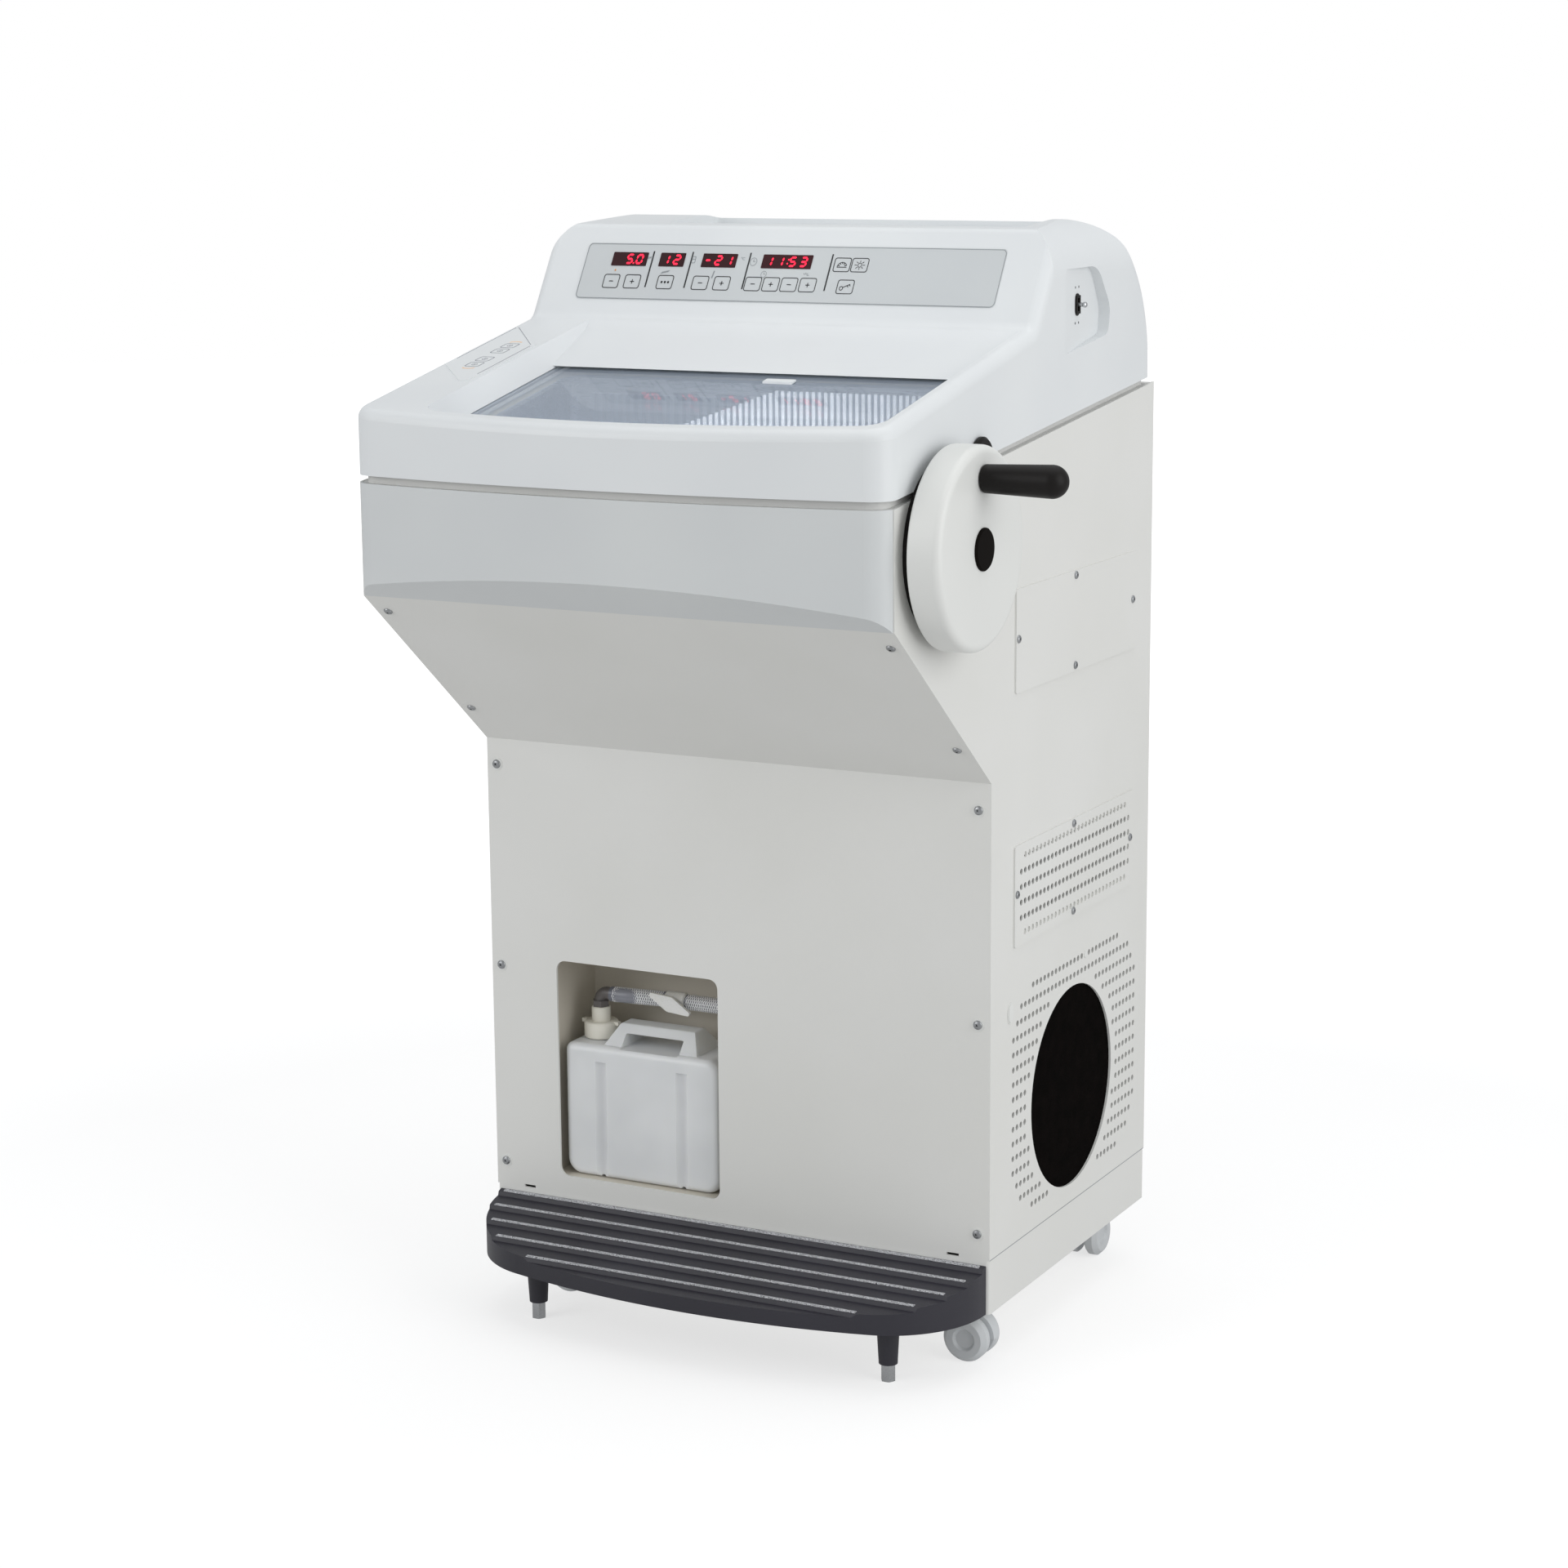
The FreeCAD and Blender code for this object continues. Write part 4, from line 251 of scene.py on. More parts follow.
def roughness_by(tree, shader, source, low, high):
    spread = tree.nodes.new("ShaderNodeMapRange")
    spread.inputs["From Min"].default_value = noise_low
    spread.inputs["From Max"].default_value = noise_high
    spread.inputs["To Min"].default_value = low
    spread.inputs["To Max"].default_value = high
    tree.links.new(source, spread.inputs["Value"])
    tree.links.new(spread.outputs["Result"], shader.inputs["Roughness"])


def bump_by(tree, shader, source, depth, strength=0.5):
    bump = tree.nodes.new("ShaderNodeBump")
    bump.inputs["Strength"].default_value = strength
    bump.inputs["Distance"].default_value = depth
    tree.links.new(source, bump.inputs["Height"])
    tree.links.new(bump.outputs["Normal"], shader.inputs["Normal"])


def grained(name, dark, light, roughness, grains, depth, cloud=5.0, strength=0.5, stretch=(1, 1, 1)):
    """The common recipe: a cloud of tone between two near colours, and one size of surface grain."""
    finish, tree, shader = start_finish(name, light, roughness[0])
    colour_by(tree, shader, grain(tree, cloud, 2.0), dark, light)
    fine = grain(tree, grains, 2.0, stretch)
    roughness_by(tree, shader, fine, *roughness)
    bump_by(tree, shader, fine, depth, strength)
    return finish


def set_gloss(name, level):
    """How much of a mirror the surface is; a half is the usual plastic."""
    finishes[name].node_tree.nodes["Principled BSDF"].inputs["Specular IOR Level"].default_value = level


# %% [markdown]
# The cabinet is folded steel with powder paint, which flows into a very fine orange peel. The upper
# shell is a moulding with an even finer grain and a cooler white. Their colours differ only slightly,
# but that small difference is what tells the two materials apart.

# %% Paints and mouldings
finishes = {}
finishes["white_paint"] = grained("white_paint", "#E0E0DC", "#E4E4E1", (0.38, 0.48), 900, 0.00012)
finishes["grey_paint"] = grained("grey_paint", "#D9D9D6", "#DEDEDC", (0.42, 0.52), 900, 0.00012)
finishes["shell_plastic"] = grained("shell_plastic", "#E0E3E5", "#E5E8E9", (0.34, 0.44), 2200, 0.00005)
finishes["cover_plastic"] = grained("cover_plastic", "#D0D3D4", "#D6D9D9", (0.36, 0.46), 2200, 0.00005)
finishes["membrane"] = grained("membrane", "#C6CACC", "#CCD0D1", (0.42, 0.5), 3000, 0.00002)
finishes["dark_plastic"] = grained("dark_plastic", "#131110", "#1B1817", (0.4, 0.5), 1600, 0.00006)
set_gloss("dark_plastic", 0.18)
finishes["footrest_plastic"] = grained("footrest_plastic", "#25242C", "#2E2D36", (0.36, 0.5), 1100, 0.00012)
finishes["wheel_plastic"] = grained("wheel_plastic", "#E1E2DF", "#E6E7E4", (0.34, 0.42), 1800, 0.00005)
finishes["castor_plastic"] = grained("castor_plastic", "#C9CCCE", "#D3D6D8", (0.4, 0.5), 1500, 0.00008)
finishes["black_paint"] = grained("black_paint", "#141415", "#1D1D1F", (0.4, 0.55), 900, 0.00012)
finishes["liner_plastic"] = grained("liner_plastic", "#CFC9BC", "#DAD4C8", (0.42, 0.52), 1400, 0.00008)
finishes["cap_plastic"] = grained("cap_plastic", "#E2DFD2", "#EAE7DC", (0.36, 0.46), 1500, 0.00006)
finishes["elbow_plastic"] = grained("elbow_plastic", "#5A5654", "#686462", (0.36, 0.48), 1500, 0.00006)
finishes["foam"] = grained("foam", "#D9CFA8", "#E4DCBB", (0.8, 0.95), 320, 0.0008, 14.0, 0.9)
print(len(finishes), "grained finishes")

# %% [markdown]
# Metals are next. Stainless sheet in the cold chamber is brushed, so its grain is stretched along one
# direction; galvanised steel shows large soft patches of crystals; cast aluminium is duller and a
# little pitted.

# %% Metals


def metal(name, dark, light, roughness, grains, depth, stretch, cloud=20.0):
    finish = grained(name, dark, light, roughness, grains, depth, cloud, 0.4, stretch)
    finish.node_tree.nodes["Principled BSDF"].inputs["Metallic"].default_value = 1.0
    return finish


brushed, even = (0.05, 1, 1), (1, 1, 1)
finishes["steel"] = metal("steel", "#B4B6B8", "#C6C8CA", (0.24, 0.36), 500, 0.00005, brushed)
finishes["galvanised"] = metal("galvanised", "#94999C", "#AEB3B6", (0.35, 0.5), 300, 0.00005, even, 60.0)
finishes["cold_aluminium"] = metal("cold_aluminium", "#A9AFB8", "#BAC0C8", (0.34, 0.48), 900, 0.00008, even)
finishes["filter_mesh"] = grained("filter_mesh", "#040302", "#0B0706", (0.7, 0.9), 900, 0.0004, 60.0, 0.9)
set_gloss("filter_mesh", 0.02)
print(len(finishes), "finishes with the metals and the filter")

# %% [markdown]
# The see-through pieces follow. The sliding pane is grey-blue safety glass: it passes part of the light
# and mirrors the hood at a low angle, so how much it hides grows steeply as the view gets lower. The
# bottle is blown polythene, milky rather than clear, and lets light wander about inside, which
# subsurface scattering imitates.

# %% Glass and translucent plastics


def pane(name, code, hidden, roughness=0.02):
    """Thin tinted glass: alpha runs from its tint to fully mirrored at a grazing view."""
    finish, tree, shader = start_finish(name, code, roughness)
    shader.inputs["IOR"].default_value = 1.5
    edge = tree.nodes.new("ShaderNodeLayerWeight")
    edge.inputs["Blend"].default_value = 0.5
    steep = tree.nodes.new("ShaderNodeMath")
    steep.operation = "POWER"
    steep.inputs[1].default_value = 4.0
    cover = tree.nodes.new("ShaderNodeMapRange")
    cover.inputs["To Min"].default_value = hidden
    cover.inputs["To Max"].default_value = 1.0
    tree.links.new(edge.outputs["Facing"], steep.inputs[0])
    tree.links.new(steep.outputs[0], cover.inputs["Value"])
    tree.links.new(cover.outputs["Result"], shader.inputs["Alpha"])
    return finish


finishes["window_glass"] = pane("window_glass", "#B4C0D0", 0.24, 0.04)
finishes["clear_plastic"] = pane("clear_plastic", "#8C8F9A", 0.6, 0.12)


def milky(name, dark, light, depth, roughness, grains=700, relief=0.0001):
    """Blown or moulded polythene that light wanders about in."""
    finish = grained(name, dark, light, roughness, grains, relief, 12.0)
    shader = finish.node_tree.nodes["Principled BSDF"]
    shader.inputs["Subsurface Weight"].default_value = 0.6
    shader.inputs["Subsurface Radius"].default_value = (depth, depth, depth * 0.9)
    shader.inputs["Subsurface Scale"].default_value = 1.0
    return finish


finishes["bottle_plastic"] = milky("bottle_plastic", "#DDDFE0", "#E8EAEA", 0.008, (0.3, 0.42))
finishes["tap_plastic"] = milky("tap_plastic", "#E4E4E0", "#EDEDEA", 0.006, (0.25, 0.35))
print(len(finishes), "finishes with glass and polythene")

# %% [markdown]
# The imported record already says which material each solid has, so the finishes go on by that list. A
# few solids differ from their kind: the keypad is as white as the shell, the hub cap is duller, and the
# tap is milky.

# %% Put the finishes on the solids
finishes["soft_black"] = grained("soft_black", "#120F0D", "#171412", (0.55, 0.65), 1600, 0.00006)
set_gloss("soft_black", 0.03)
own_finish = {"armrest_keypad": "shell_plastic", "hub_cap": "soft_black",
              "tap_body": "tap_plastic", "tap_handle": "tap_plastic"}
for subpart in frame["record"]["subparts"]:
    solid = frame["nodes"][subpart["node"]]
    solid.data.materials.clear()
    solid.data.materials.append(finishes[own_finish.get(subpart["node"], subpart["material_slot"])])
print(len(frame["nodes"]), "solids have their finish")

# %% [markdown]
# Small parts are flat outlines pushed through a little thickness. A maker would print, punch or mould
# them; here one helper lays an outline on any surface through a function that says where a point of it
# goes, and another makes the frame-shaped band round a key or a panel.

# %% Helpers for outlines


def rounded(x, z, width, height, radius, steps=4):
    """Corner-rounded rectangle round (x, z), counter-clockwise."""
    points = []
    for turn, (sx, sz) in enumerate(((1, 1), (-1, 1), (-1, -1), (1, -1))):
        for i in range(steps + 1):
            angle = math.pi / 2 * (turn + i / steps)
            points.append((x + sx * (width / 2 - radius) + radius * math.cos(angle),
                           z + sz * (height / 2 - radius) + radius * math.sin(angle)))
    return points


def circle(x, z, radius, count=20):
    return [(x + radius * math.cos(2 * math.pi * i / count), z + radius * math.sin(2 * math.pi * i / count))
            for i in range(count)]


def add_plate(mesh, points, place, low, high):
    """Closed outline, low to high above the surface that place describes."""
    under = [mesh.verts.new(place(u, v, low)) for u, v in points]
    top = [mesh.verts.new(place(u, v, high)) for u, v in points]
    mesh.faces.new(under)
    mesh.faces.new(top)
    for i in range(len(points)):
        j = (i + 1) % len(points)
        mesh.faces.new((under[i], under[j], top[j], top[i]))


def add_band(mesh, outer, inner, place, low, high):
    """Frame between two outlines with the same number of points."""
    rows = [[mesh.verts.new(place(u, v, w)) for u, v in points]
            for points, w in ((outer, low), (outer, high), (inner, high), (inner, low))]
    for a, b in ((0, 1), (1, 2), (2, 3), (3, 0)):
        for i in range(len(outer)):
            j = (i + 1) % len(outer)
            mesh.faces.new((rows[a][i], rows[a][j], rows[b][j], rows[b][i]))


def close_piece(name, mesh, finish, body="cabinet"):
    """Turns the collected faces into a piece with its finish, riding on a body."""
    bmesh.ops.recalc_face_normals(mesh, faces=mesh.faces)
    data = bpy.data.meshes.new(name)
    mesh.to_mesh(data)
    mesh.free()
    data.materials.append(finishes[finish])
    piece = bpy.data.objects.new(name, data)
    bpy.context.scene.collection.objects.link(piece)
    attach(piece, body)
    print(name, "has", len(data.polygons), "faces")
    return piece


# %% [markdown]
# The printed control panel leans back with the hood, and the keypad lies on the sloped armrest. Rather
# than copying angles, the broad face of each solid is looked up, and points are put on its plane.

# %% Find the planes of the two printed panels


def broad_face(node, towards):
    solid = frame["nodes"][node]
    faces = [f for f in solid.data.polygons if f.normal.dot(towards) > 0.7]
    best = max(faces, key=lambda f: f.center.dot(towards))
    return best.center.copy(), best.normal.copy()


panel_spot, panel_out = broad_face("control_membrane", way(0, -0.85, 0.52))
pad_spot, pad_out = broad_face("armrest_keypad", way(0, -0.2, 0.98))


def on_panel(x, z, lift=0.0):
    point = at(x, 0, z)
    off = point - panel_spot
    point.y = panel_spot.y - (off.x * panel_out.x + off.z * panel_out.z) / panel_out.y
    return point + panel_out * lift / 1000


def on_pad(x, y, lift=0.0):
    point = at(x, y, 0)
    off = point - pad_spot
    point.z = pad_spot.z - (off.x * pad_out.x + off.y * pad_out.y) / pad_out.z
    return point + pad_out * lift / 1000


print_foot, print_top = -0.1, 0.12


def print_shape(mesh, points, place=on_panel, top=print_top):
    """A printed sign: its foot lies in the foil, so that only the top shows."""
    add_plate(mesh, points, place, print_foot, top)


def print_frame(mesh, outer, inner, place=on_panel):
    add_band(mesh, outer, inner, place, print_foot, print_top)


print("panel faces", [round(n, 3) for n in panel_out], "pad faces", [round(n, 3) for n in pad_out])

# %% [markdown]
# Four displays sit behind dark red windows. Each digit is seven bars that taper at their ends and lean
# a little, and the lit bars give off red light of their own. The numbers are only examples of what it
# may show.

# %% Display windows and digits
finishes["display_window"] = grained("display_window", "#2A070D", "#3A0A12", (0.14, 0.2), 900, 0.00001)
lit, tree, shader = start_finish("display_light", "#FF1030", 0.5)
shader.inputs["Emission Color"].default_value = (*shade("#FF1A3C"), 1)
shader.inputs["Emission Strength"].default_value = 1.6
colour_by(tree, shader, grain(tree, 400, 1.0), "#F00828", "#FF2848")
finishes["display_light"] = lit

windows = {"thickness": (-214, -171), "program": (-155.5, -125),
           "temperature": (-103.5, -62), "clock": (-31, 28)}
display_height, display_middle = 14, 1140
mesh = bmesh.new()
for left, stop in windows.values():
    window = rounded((left + stop) / 2, display_middle, stop - left, display_height, 0.8)
    add_plate(mesh, window, on_panel, -0.2, 0.35)
close_piece("display_windows", mesh, "display_window")

bars = {"a": (0, 1, 1, 1), "b": (1, 1, 1, 0.5), "c": (1, 0.5, 1, 0), "d": (0, 0, 1, 0), "e": (0, 0.5, 0, 0),
        "f": (0, 1, 0, 0.5), "g": (0, 0.5, 1, 0.5)}
lit_bars = {"0": "abcdef", "1": "bc", "2": "abged", "3": "abgcd", "5": "afgcd", "-": "g"}
bar_gap, digit_lean, glow_foot, glow_top = 0.35, 0.14, 0.3, 0.5


def add_digit(mesh, sign, x, z, width=6.4, height=8.6, thick=1.9):
    for bar in lit_bars[sign]:
        ax, az, bx, bz = bars[bar]
        start = Vector((ax * width, az * height))
        end = Vector((bx * width, bz * height))
        along = (end - start).normalized()
        start, end = start + along * bar_gap, end - along * bar_gap
        across = Vector((-along.y, along.x)) * thick / 2
        tip = along * thick / 2
        outline = [start, start + tip + across, end - tip + across,
                   end, end - tip - across, start + tip - across]
        leaning = [(x + p.x + digit_lean * p.y, z + p.y) for p in outline]
        add_plate(mesh, leaning, on_panel, glow_foot, glow_top)


shown = (("50", -196, 12), ("12", -151.5, 13.5), ("-21", -100, 12.6), ("1153", -26.5, 12.9))
digit_foot, colon_room, dot_size = 1135.7, 2.2, 1.5
dots = ((-186.8, 1135.8), (-0.6, 1138), (0.1, 1142))
mesh = bmesh.new()
for text, start, pitch in shown:
    for i, sign in enumerate(text):
        extra = colon_room if text == "1153" and i > 1 else 0
        add_digit(mesh, sign, start + i * pitch + extra, digit_foot)
for x, z in dots:
    add_plate(mesh, rounded(x, z, dot_size, dot_size, 0.4), on_panel, glow_foot, glow_top)
close_piece("display_digits", mesh, "display_light")

# %% [markdown]
# Under the foil sit flat switches, so a key is only a printed frame with a sign in it. The frames stand
# a hair above the foil, which is enough to catch an edge of light and never flickers against it.

# %% Keys, dividers and signs on the panel
finishes["print_dark"] = grained("print_dark", "#1E2022", "#2A2C2E", (0.45, 0.55), 1500, 0.00001)
finishes["print_soft"] = grained("print_soft", "#8B9093", "#989DA0", (0.45, 0.55), 1500, 0.00001)
finishes["print_orange"] = grained("print_orange", "#D98A2B", "#E79A3C", (0.45, 0.55), 1500, 0.00001)
minus_keys, plus_keys = (-208.5, -99, -35.5, 7.5), (-182.5, -73, -14, 29.5)
key_row, menu_key, dividers = 1117, -142, (-164.8, -117.0, -47.0, 50.5)
key_outside, key_inside, divider_middle, divider_height = (19.6, 14.4, 2.6), (18.0, 12.9, 2.0), 1130, 37
keys = [(x, key_row) for x in (*minus_keys, *plus_keys, menu_key)]
keys += [(64, 1138), (84.5, 1138), (74, 1116)]
mesh = bmesh.new()
for x, z in keys:
    print_frame(mesh, rounded(x, z, *key_outside), rounded(x, z, *key_inside))
for x in dividers:
    print_shape(mesh, rounded(x, divider_middle, 1.6, divider_height, 0.3))
for x in minus_keys:
    print_shape(mesh, rounded(x, key_row, 5.0, 0.8, 0.3))
for x in plus_keys:
    print_shape(mesh, rounded(x, key_row, 5.0, 0.8, 0.3))
    print_shape(mesh, rounded(x, key_row, 0.9, 4.4, 0.3), top=print_top + 0.01)
for x in (menu_key - 4, menu_key, menu_key + 4):
    print_shape(mesh, circle(x, key_row, 1.2))
close_piece("panel_keys", mesh, "print_dark")

# %% [markdown]
# Three keys carry pictures instead of signs: a dial with ticks, a lamp with rays and a key for the
# lock. Beside the displays stand two clocks, a tilted slice, a slanted stroke, a framed gauge and four
# short rays. Nearly all of them are drawn from bars and rings.

# %% Pictures on the panel


def add_bar(mesh, start, end, thick, place=on_panel):
    start, end = Vector(start), Vector(end)
    along = (end - start).normalized()
    across = Vector((-along.y, along.x)) * thick / 2
    corners = (start + across, end + across, end - across, start - across)
    print_shape(mesh, [tuple(p) for p in corners], place)


def add_ring(mesh, x, z, radius, thick, place=on_panel):
    print_frame(mesh, circle(x, z, radius), circle(x, z, radius - thick), place)


def around(x, z, wide, high, angle):
    """Point on an oval round (x, z)."""
    return x + wide * math.cos(angle), z + high * math.sin(angle)


mesh = bmesh.new()
dial_x, dial_z = 64, 1136
for i in range(5):
    angle = math.radians(20 + 35 * i)
    add_bar(mesh, around(dial_x, dial_z, 3, 3, angle), around(dial_x, dial_z, 5.4, 4.4, angle), 0.9)
    add_bar(mesh, around(dial_x, dial_z, 5.6, 4.6, angle), around(dial_x, dial_z, 5.6, 4.6, angle + 0.5), 0.6)
add_bar(mesh, (58.5, 1135.6), (69.5, 1135.6), 0.7)
lamp_x, lamp_z, lamp_rays = 84.5, 1138, 8
add_ring(mesh, lamp_x, lamp_z, 2.4, 0.6)
for i in range(lamp_rays):
    angle = 2 * math.pi / lamp_rays * i
    add_bar(mesh, around(lamp_x, lamp_z, 3.3, 2.9, angle), around(lamp_x, lamp_z, 6.0, 4.6, angle), 0.6)
add_ring(mesh, 69.5, 1114.5, 2.2, 0.7)
key_bars = (((71.2, 1115.4), (79, 1118.6)), ((76.3, 1117.4), (77.2, 1115.6)),
            ((78.6, 1118.4), (79.4, 1116.8)))
for start, end in key_bars:
    add_bar(mesh, start, end, 0.8)
close_piece("panel_key_pictures", mesh, "print_dark")

mesh = bmesh.new()
clocks = ((-41.5, 1139.5, 4.2), (-25.5, 1127, 3.4))
for x, z, r in clocks:
    add_ring(mesh, x, z, r, 0.5)
    add_bar(mesh, (x, z), (x, z + r * 0.6), 0.5)
    add_bar(mesh, (x, z), (x + r * 0.55, z), 0.5)
print_shape(mesh, [(-150, 1125.6), (-141.5, 1127.4), (-139.6, 1129.2), (-148.2, 1127.6)])
add_bar(mesh, (-86.5, 1122), (-85.4, 1129.5), 1.4)
print_frame(mesh, rounded(-114.2, 1140.5, 4.6, 7.0, 0.8), rounded(-114.2, 1140.5, 3.6, 6.0, 0.5))
add_bar(mesh, (-116, 1141), (-112.4, 1141), 0.5)
for i in range(4):
    angle = math.radians(15 + 37 * i)
    add_bar(mesh, around(24, 1126, 1.8, 1.8, angle), around(24, 1126, 4.2, 3.4, angle), 0.8)
close_piece("panel_pictures", mesh, "print_soft")

mesh = bmesh.new()
print_shape(mesh, circle(-207, 1128.5, 0.9), top=0.2)
close_piece("panel_lamp", mesh, "print_orange")

# %% [markdown]
# Units beside the displays are the only letters: set in a built-in plain face and laid on the panel.

# %% Units beside the displays


text_thickness, text_lift = 0.00006, 0.08


def lay_text(name, text, x, z, size):
    curve = bpy.data.curves.new(name, "FONT")
    curve.body = text
    curve.size = size / 1000
    curve.extrude = text_thickness
    draft = bpy.data.objects.new(name + "_draft", curve)
    data = bpy.data.meshes.new_from_object(draft)
    bpy.data.objects.remove(draft)
    across = (on_panel(x + 10, z) - on_panel(x, z)).normalized()
    turned = Matrix((across, panel_out.cross(across), panel_out)).transposed().to_4x4()
    data.transform(Matrix.Translation(on_panel(x, z, text_lift)) @ turned)
    data.materials.clear()
    data.materials.append(finishes["print_soft"])
    piece = bpy.data.objects.new(name, data)
    bpy.context.scene.collection.objects.link(piece)
    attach(piece, "cabinet")
    print(name, "has", len(data.polygons), "faces")


lay_text("unit_micrometre", "\u00b5m", -171, 1141, 4.6)
lay_text("unit_degree", "\u00b0C", -57.5, 1141, 4.6)

# %% [markdown]
# A thin grey seam runs round the panel foil and along three sides of the armrest keypad, where the foil
# ends. Four keys with printed frames lie on the armrest, between two curved marks.

# %% Seams and the armrest keys
mesh = bmesh.new()
seam_outside = rounded(0, 1127.5, 495.8, 56.8, 4.8, 6)
seam_inside = rounded(0, 1127.5, 494.2, 55.4, 4.2, 6)
add_band(mesh, seam_outside, seam_inside, on_panel, -0.2, 0.06)
close_piece("panel_seam", mesh, "print_soft")

finishes["print_faint"] = grained("print_faint", "#5E6270", "#6C707D", (0.45, 0.55), 1500, 0.00001)
finishes["print_peach"] = grained("print_peach", "#F0B878", "#F3C48C", (0.45, 0.55), 1500, 0.00001)
pad_keys, pad_outside, pad_inside = -253, (17, 16, 3), (15.4, 14.4, 2.4)
mesh = bmesh.new()
for y in (-79, -59, -29, -9):
    print_frame(mesh, rounded(pad_keys, y, *pad_outside), rounded(pad_keys, y, *pad_inside), on_pad)
    add_ring(mesh, pad_keys, y, 3.2, 0.5, on_pad)
    add_bar(mesh, (pad_keys, y - 1.6), (pad_keys, y + 1.6), 0.5, on_pad)
add_bar(mesh, (-286.5, -60), (-286.5, 58), 0.5, on_pad)
add_bar(mesh, (-229, -112), (-229, -8), 0.6, on_pad)
add_bar(mesh, (-284, 59.5), (-231, -3), 0.5, on_pad)
close_piece("armrest_keys", mesh, "print_faint")

mesh = bmesh.new()
for y, first in ((-91, 200), (3, 20)):
    for i in range(6):
        a, b = (around(pad_keys, y, 7, 3, math.radians(first + 28 * k)) for k in (i, i + 1))
        add_bar(mesh, a, b, 1.6, on_pad)
close_piece("armrest_marks", mesh, "print_peach")

# %% [markdown]
# Panel screws are stainless pan heads with a cross recess. One head is a small lathe profile whose
# inner ring dips in to leave the cross, and it is repeated at every fixing of the sheets. The six on
# the front sit in pale washers.

# %% Screws


def add_screw(mesh, centre, out, size=1.0):
    side = out.orthogonal().normalized()
    upright = out.cross(side)
    rings = [(4.3, 0.0), (4.3, 0.5), (3.9, 1.3), (3.0, 1.9), (1.9, 2.2)]
    count, arm, notch, between, recess_foot = 24, 1.9, 0.62, 1.1, 0.8
    loops = [[ring] * count for ring in rings]
    cross = [(arm if i % 6 == 0 else notch if i % 6 == 3 else between, rings[-1][1]) for i in range(count)]
    loops += [cross, [(r * 0.8, recess_foot) for r, h in cross]]
    rows = []
    for loop in loops:
        row = []
        for i, (r, h) in enumerate(loop):
            angle = 2 * math.pi * i / count
            spot = (side * math.cos(angle) + upright * math.sin(angle)) * r + out * h
            row.append(mesh.verts.new(centre + spot * size / 1000))
        rows.append(row)
    for a, b in zip(rows, rows[1:]):
        for i in range(count):
            j = (i + 1) % count
            mesh.faces.new((a[i], a[j], b[j], b[i]))
    mesh.faces.new(rows[-1])
    mesh.faces.new(rows[0][::-1])


plinth_top, back_edge, service_foot, vent_foot = 124, 434, 713, 446
slant_low, slant_high = Vector((0, 0, 630)), Vector((0, -226, 816))
slant_way = (slant_high - slant_low).normalized()
slant_out = way(0, -slant_way.z, slant_way.y)
front_screws = [(x, z) for x in (-288, 286) for z in (151.5, 376.5, 601.5)]
front_size, cover_face, washer_top = 1.12, 302, 0.6
mesh = bmesh.new()
for x, z in front_screws:
    add_screw(mesh, at(x, -washer_top, z), way(0, -1, 0), front_size)
for x in (-285.5, 285.5):
    for distance in (67, 264):
        spot = slant_low + slant_way * distance
        add_screw(mesh, at(x, spot.y, spot.z), slant_out, front_size)
for bottom in (service_foot, vent_foot):
    for y, up in ((212, 102.5), (212, 6.5), (62, 56), (374, 55)):
        add_screw(mesh, at(cover_face, y, bottom + up), way(1, 0, 0))
for x in (-286, 286):
    for z in (180, 450, 720, 960):
        add_screw(mesh, at(x, back_edge, z), way(0, 1, 0))
finishes["screw_steel"] = metal("screw_steel", "#9A9C9E", "#B0B2B4", (0.3, 0.42), 900, 0.00003, even)
close_piece("panel_screws", mesh, "screw_steel")


def on_front(x, z, lift=0.0):
    return at(x, -lift, z)


mesh = bmesh.new()
for x, z in front_screws:
    add_band(mesh, circle(x, z, 6.8, 28), circle(x, z, 3.2, 28), on_front, -0.1, washer_top)
close_piece("screw_washers", mesh, "wheel_plastic")

# %% [markdown]
# Air goes in and out through punched holes. The solids carry them as small diamonds, which keeps them
# light; here the two sheets are laid out again with round holes, punched by one boolean cut each, as a
# turret press would punch them. A dark sheet behind them is painted shade: it stands for the dark inside
# of the cabinet and makes the holes read as holes.

# %% Punched sheets


def on_side(y, z, lift=0.0):
    return at(300 + lift, y, z)


def shrink(points, depth):
    """Every side of the counter-clockwise outline moved inward by depth."""
    result = []
    for i, corner in enumerate(points):
        before = (Vector(corner) - Vector(points[i - 1])).normalized()
        after = (Vector(points[(i + 1) % len(points)]) - Vector(corner)).normalized()
        inward = Vector((-before.y - after.y, before.x + after.x))
        result.append(tuple(Vector(corner) + inward * depth / (1 + before.dot(after))))
    return result


def punch(plates, holes, low, high):
    """Bmesh of the plates with the holes cut through them."""
    past = 1
    drafts = []
    for name, outlines, a, b in (("sheet_draft", plates, low, high),
                                 ("holes_draft", holes, low - past, high + past)):
        mesh = bmesh.new()
        for points in outlines:
            add_plate(mesh, points, on_side, a, b)
        bmesh.ops.recalc_face_normals(mesh, faces=mesh.faces)
        data = bpy.data.meshes.new(name)
        mesh.to_mesh(data)
        mesh.free()
        drafts.append(bpy.data.objects.new(name, data))
        bpy.context.scene.collection.objects.link(drafts[-1])
    cut = drafts[0].modifiers.new("punch", "BOOLEAN")
    cut.object = drafts[1]
    cut.operation = "DIFFERENCE"
    cut.solver = "EXACT"
    result = bmesh.new()
    result.from_mesh(drafts[0].evaluated_get(bpy.context.evaluated_depsgraph_get()).to_mesh())
    for draft in drafts:
        bpy.data.objects.remove(draft)
    return result


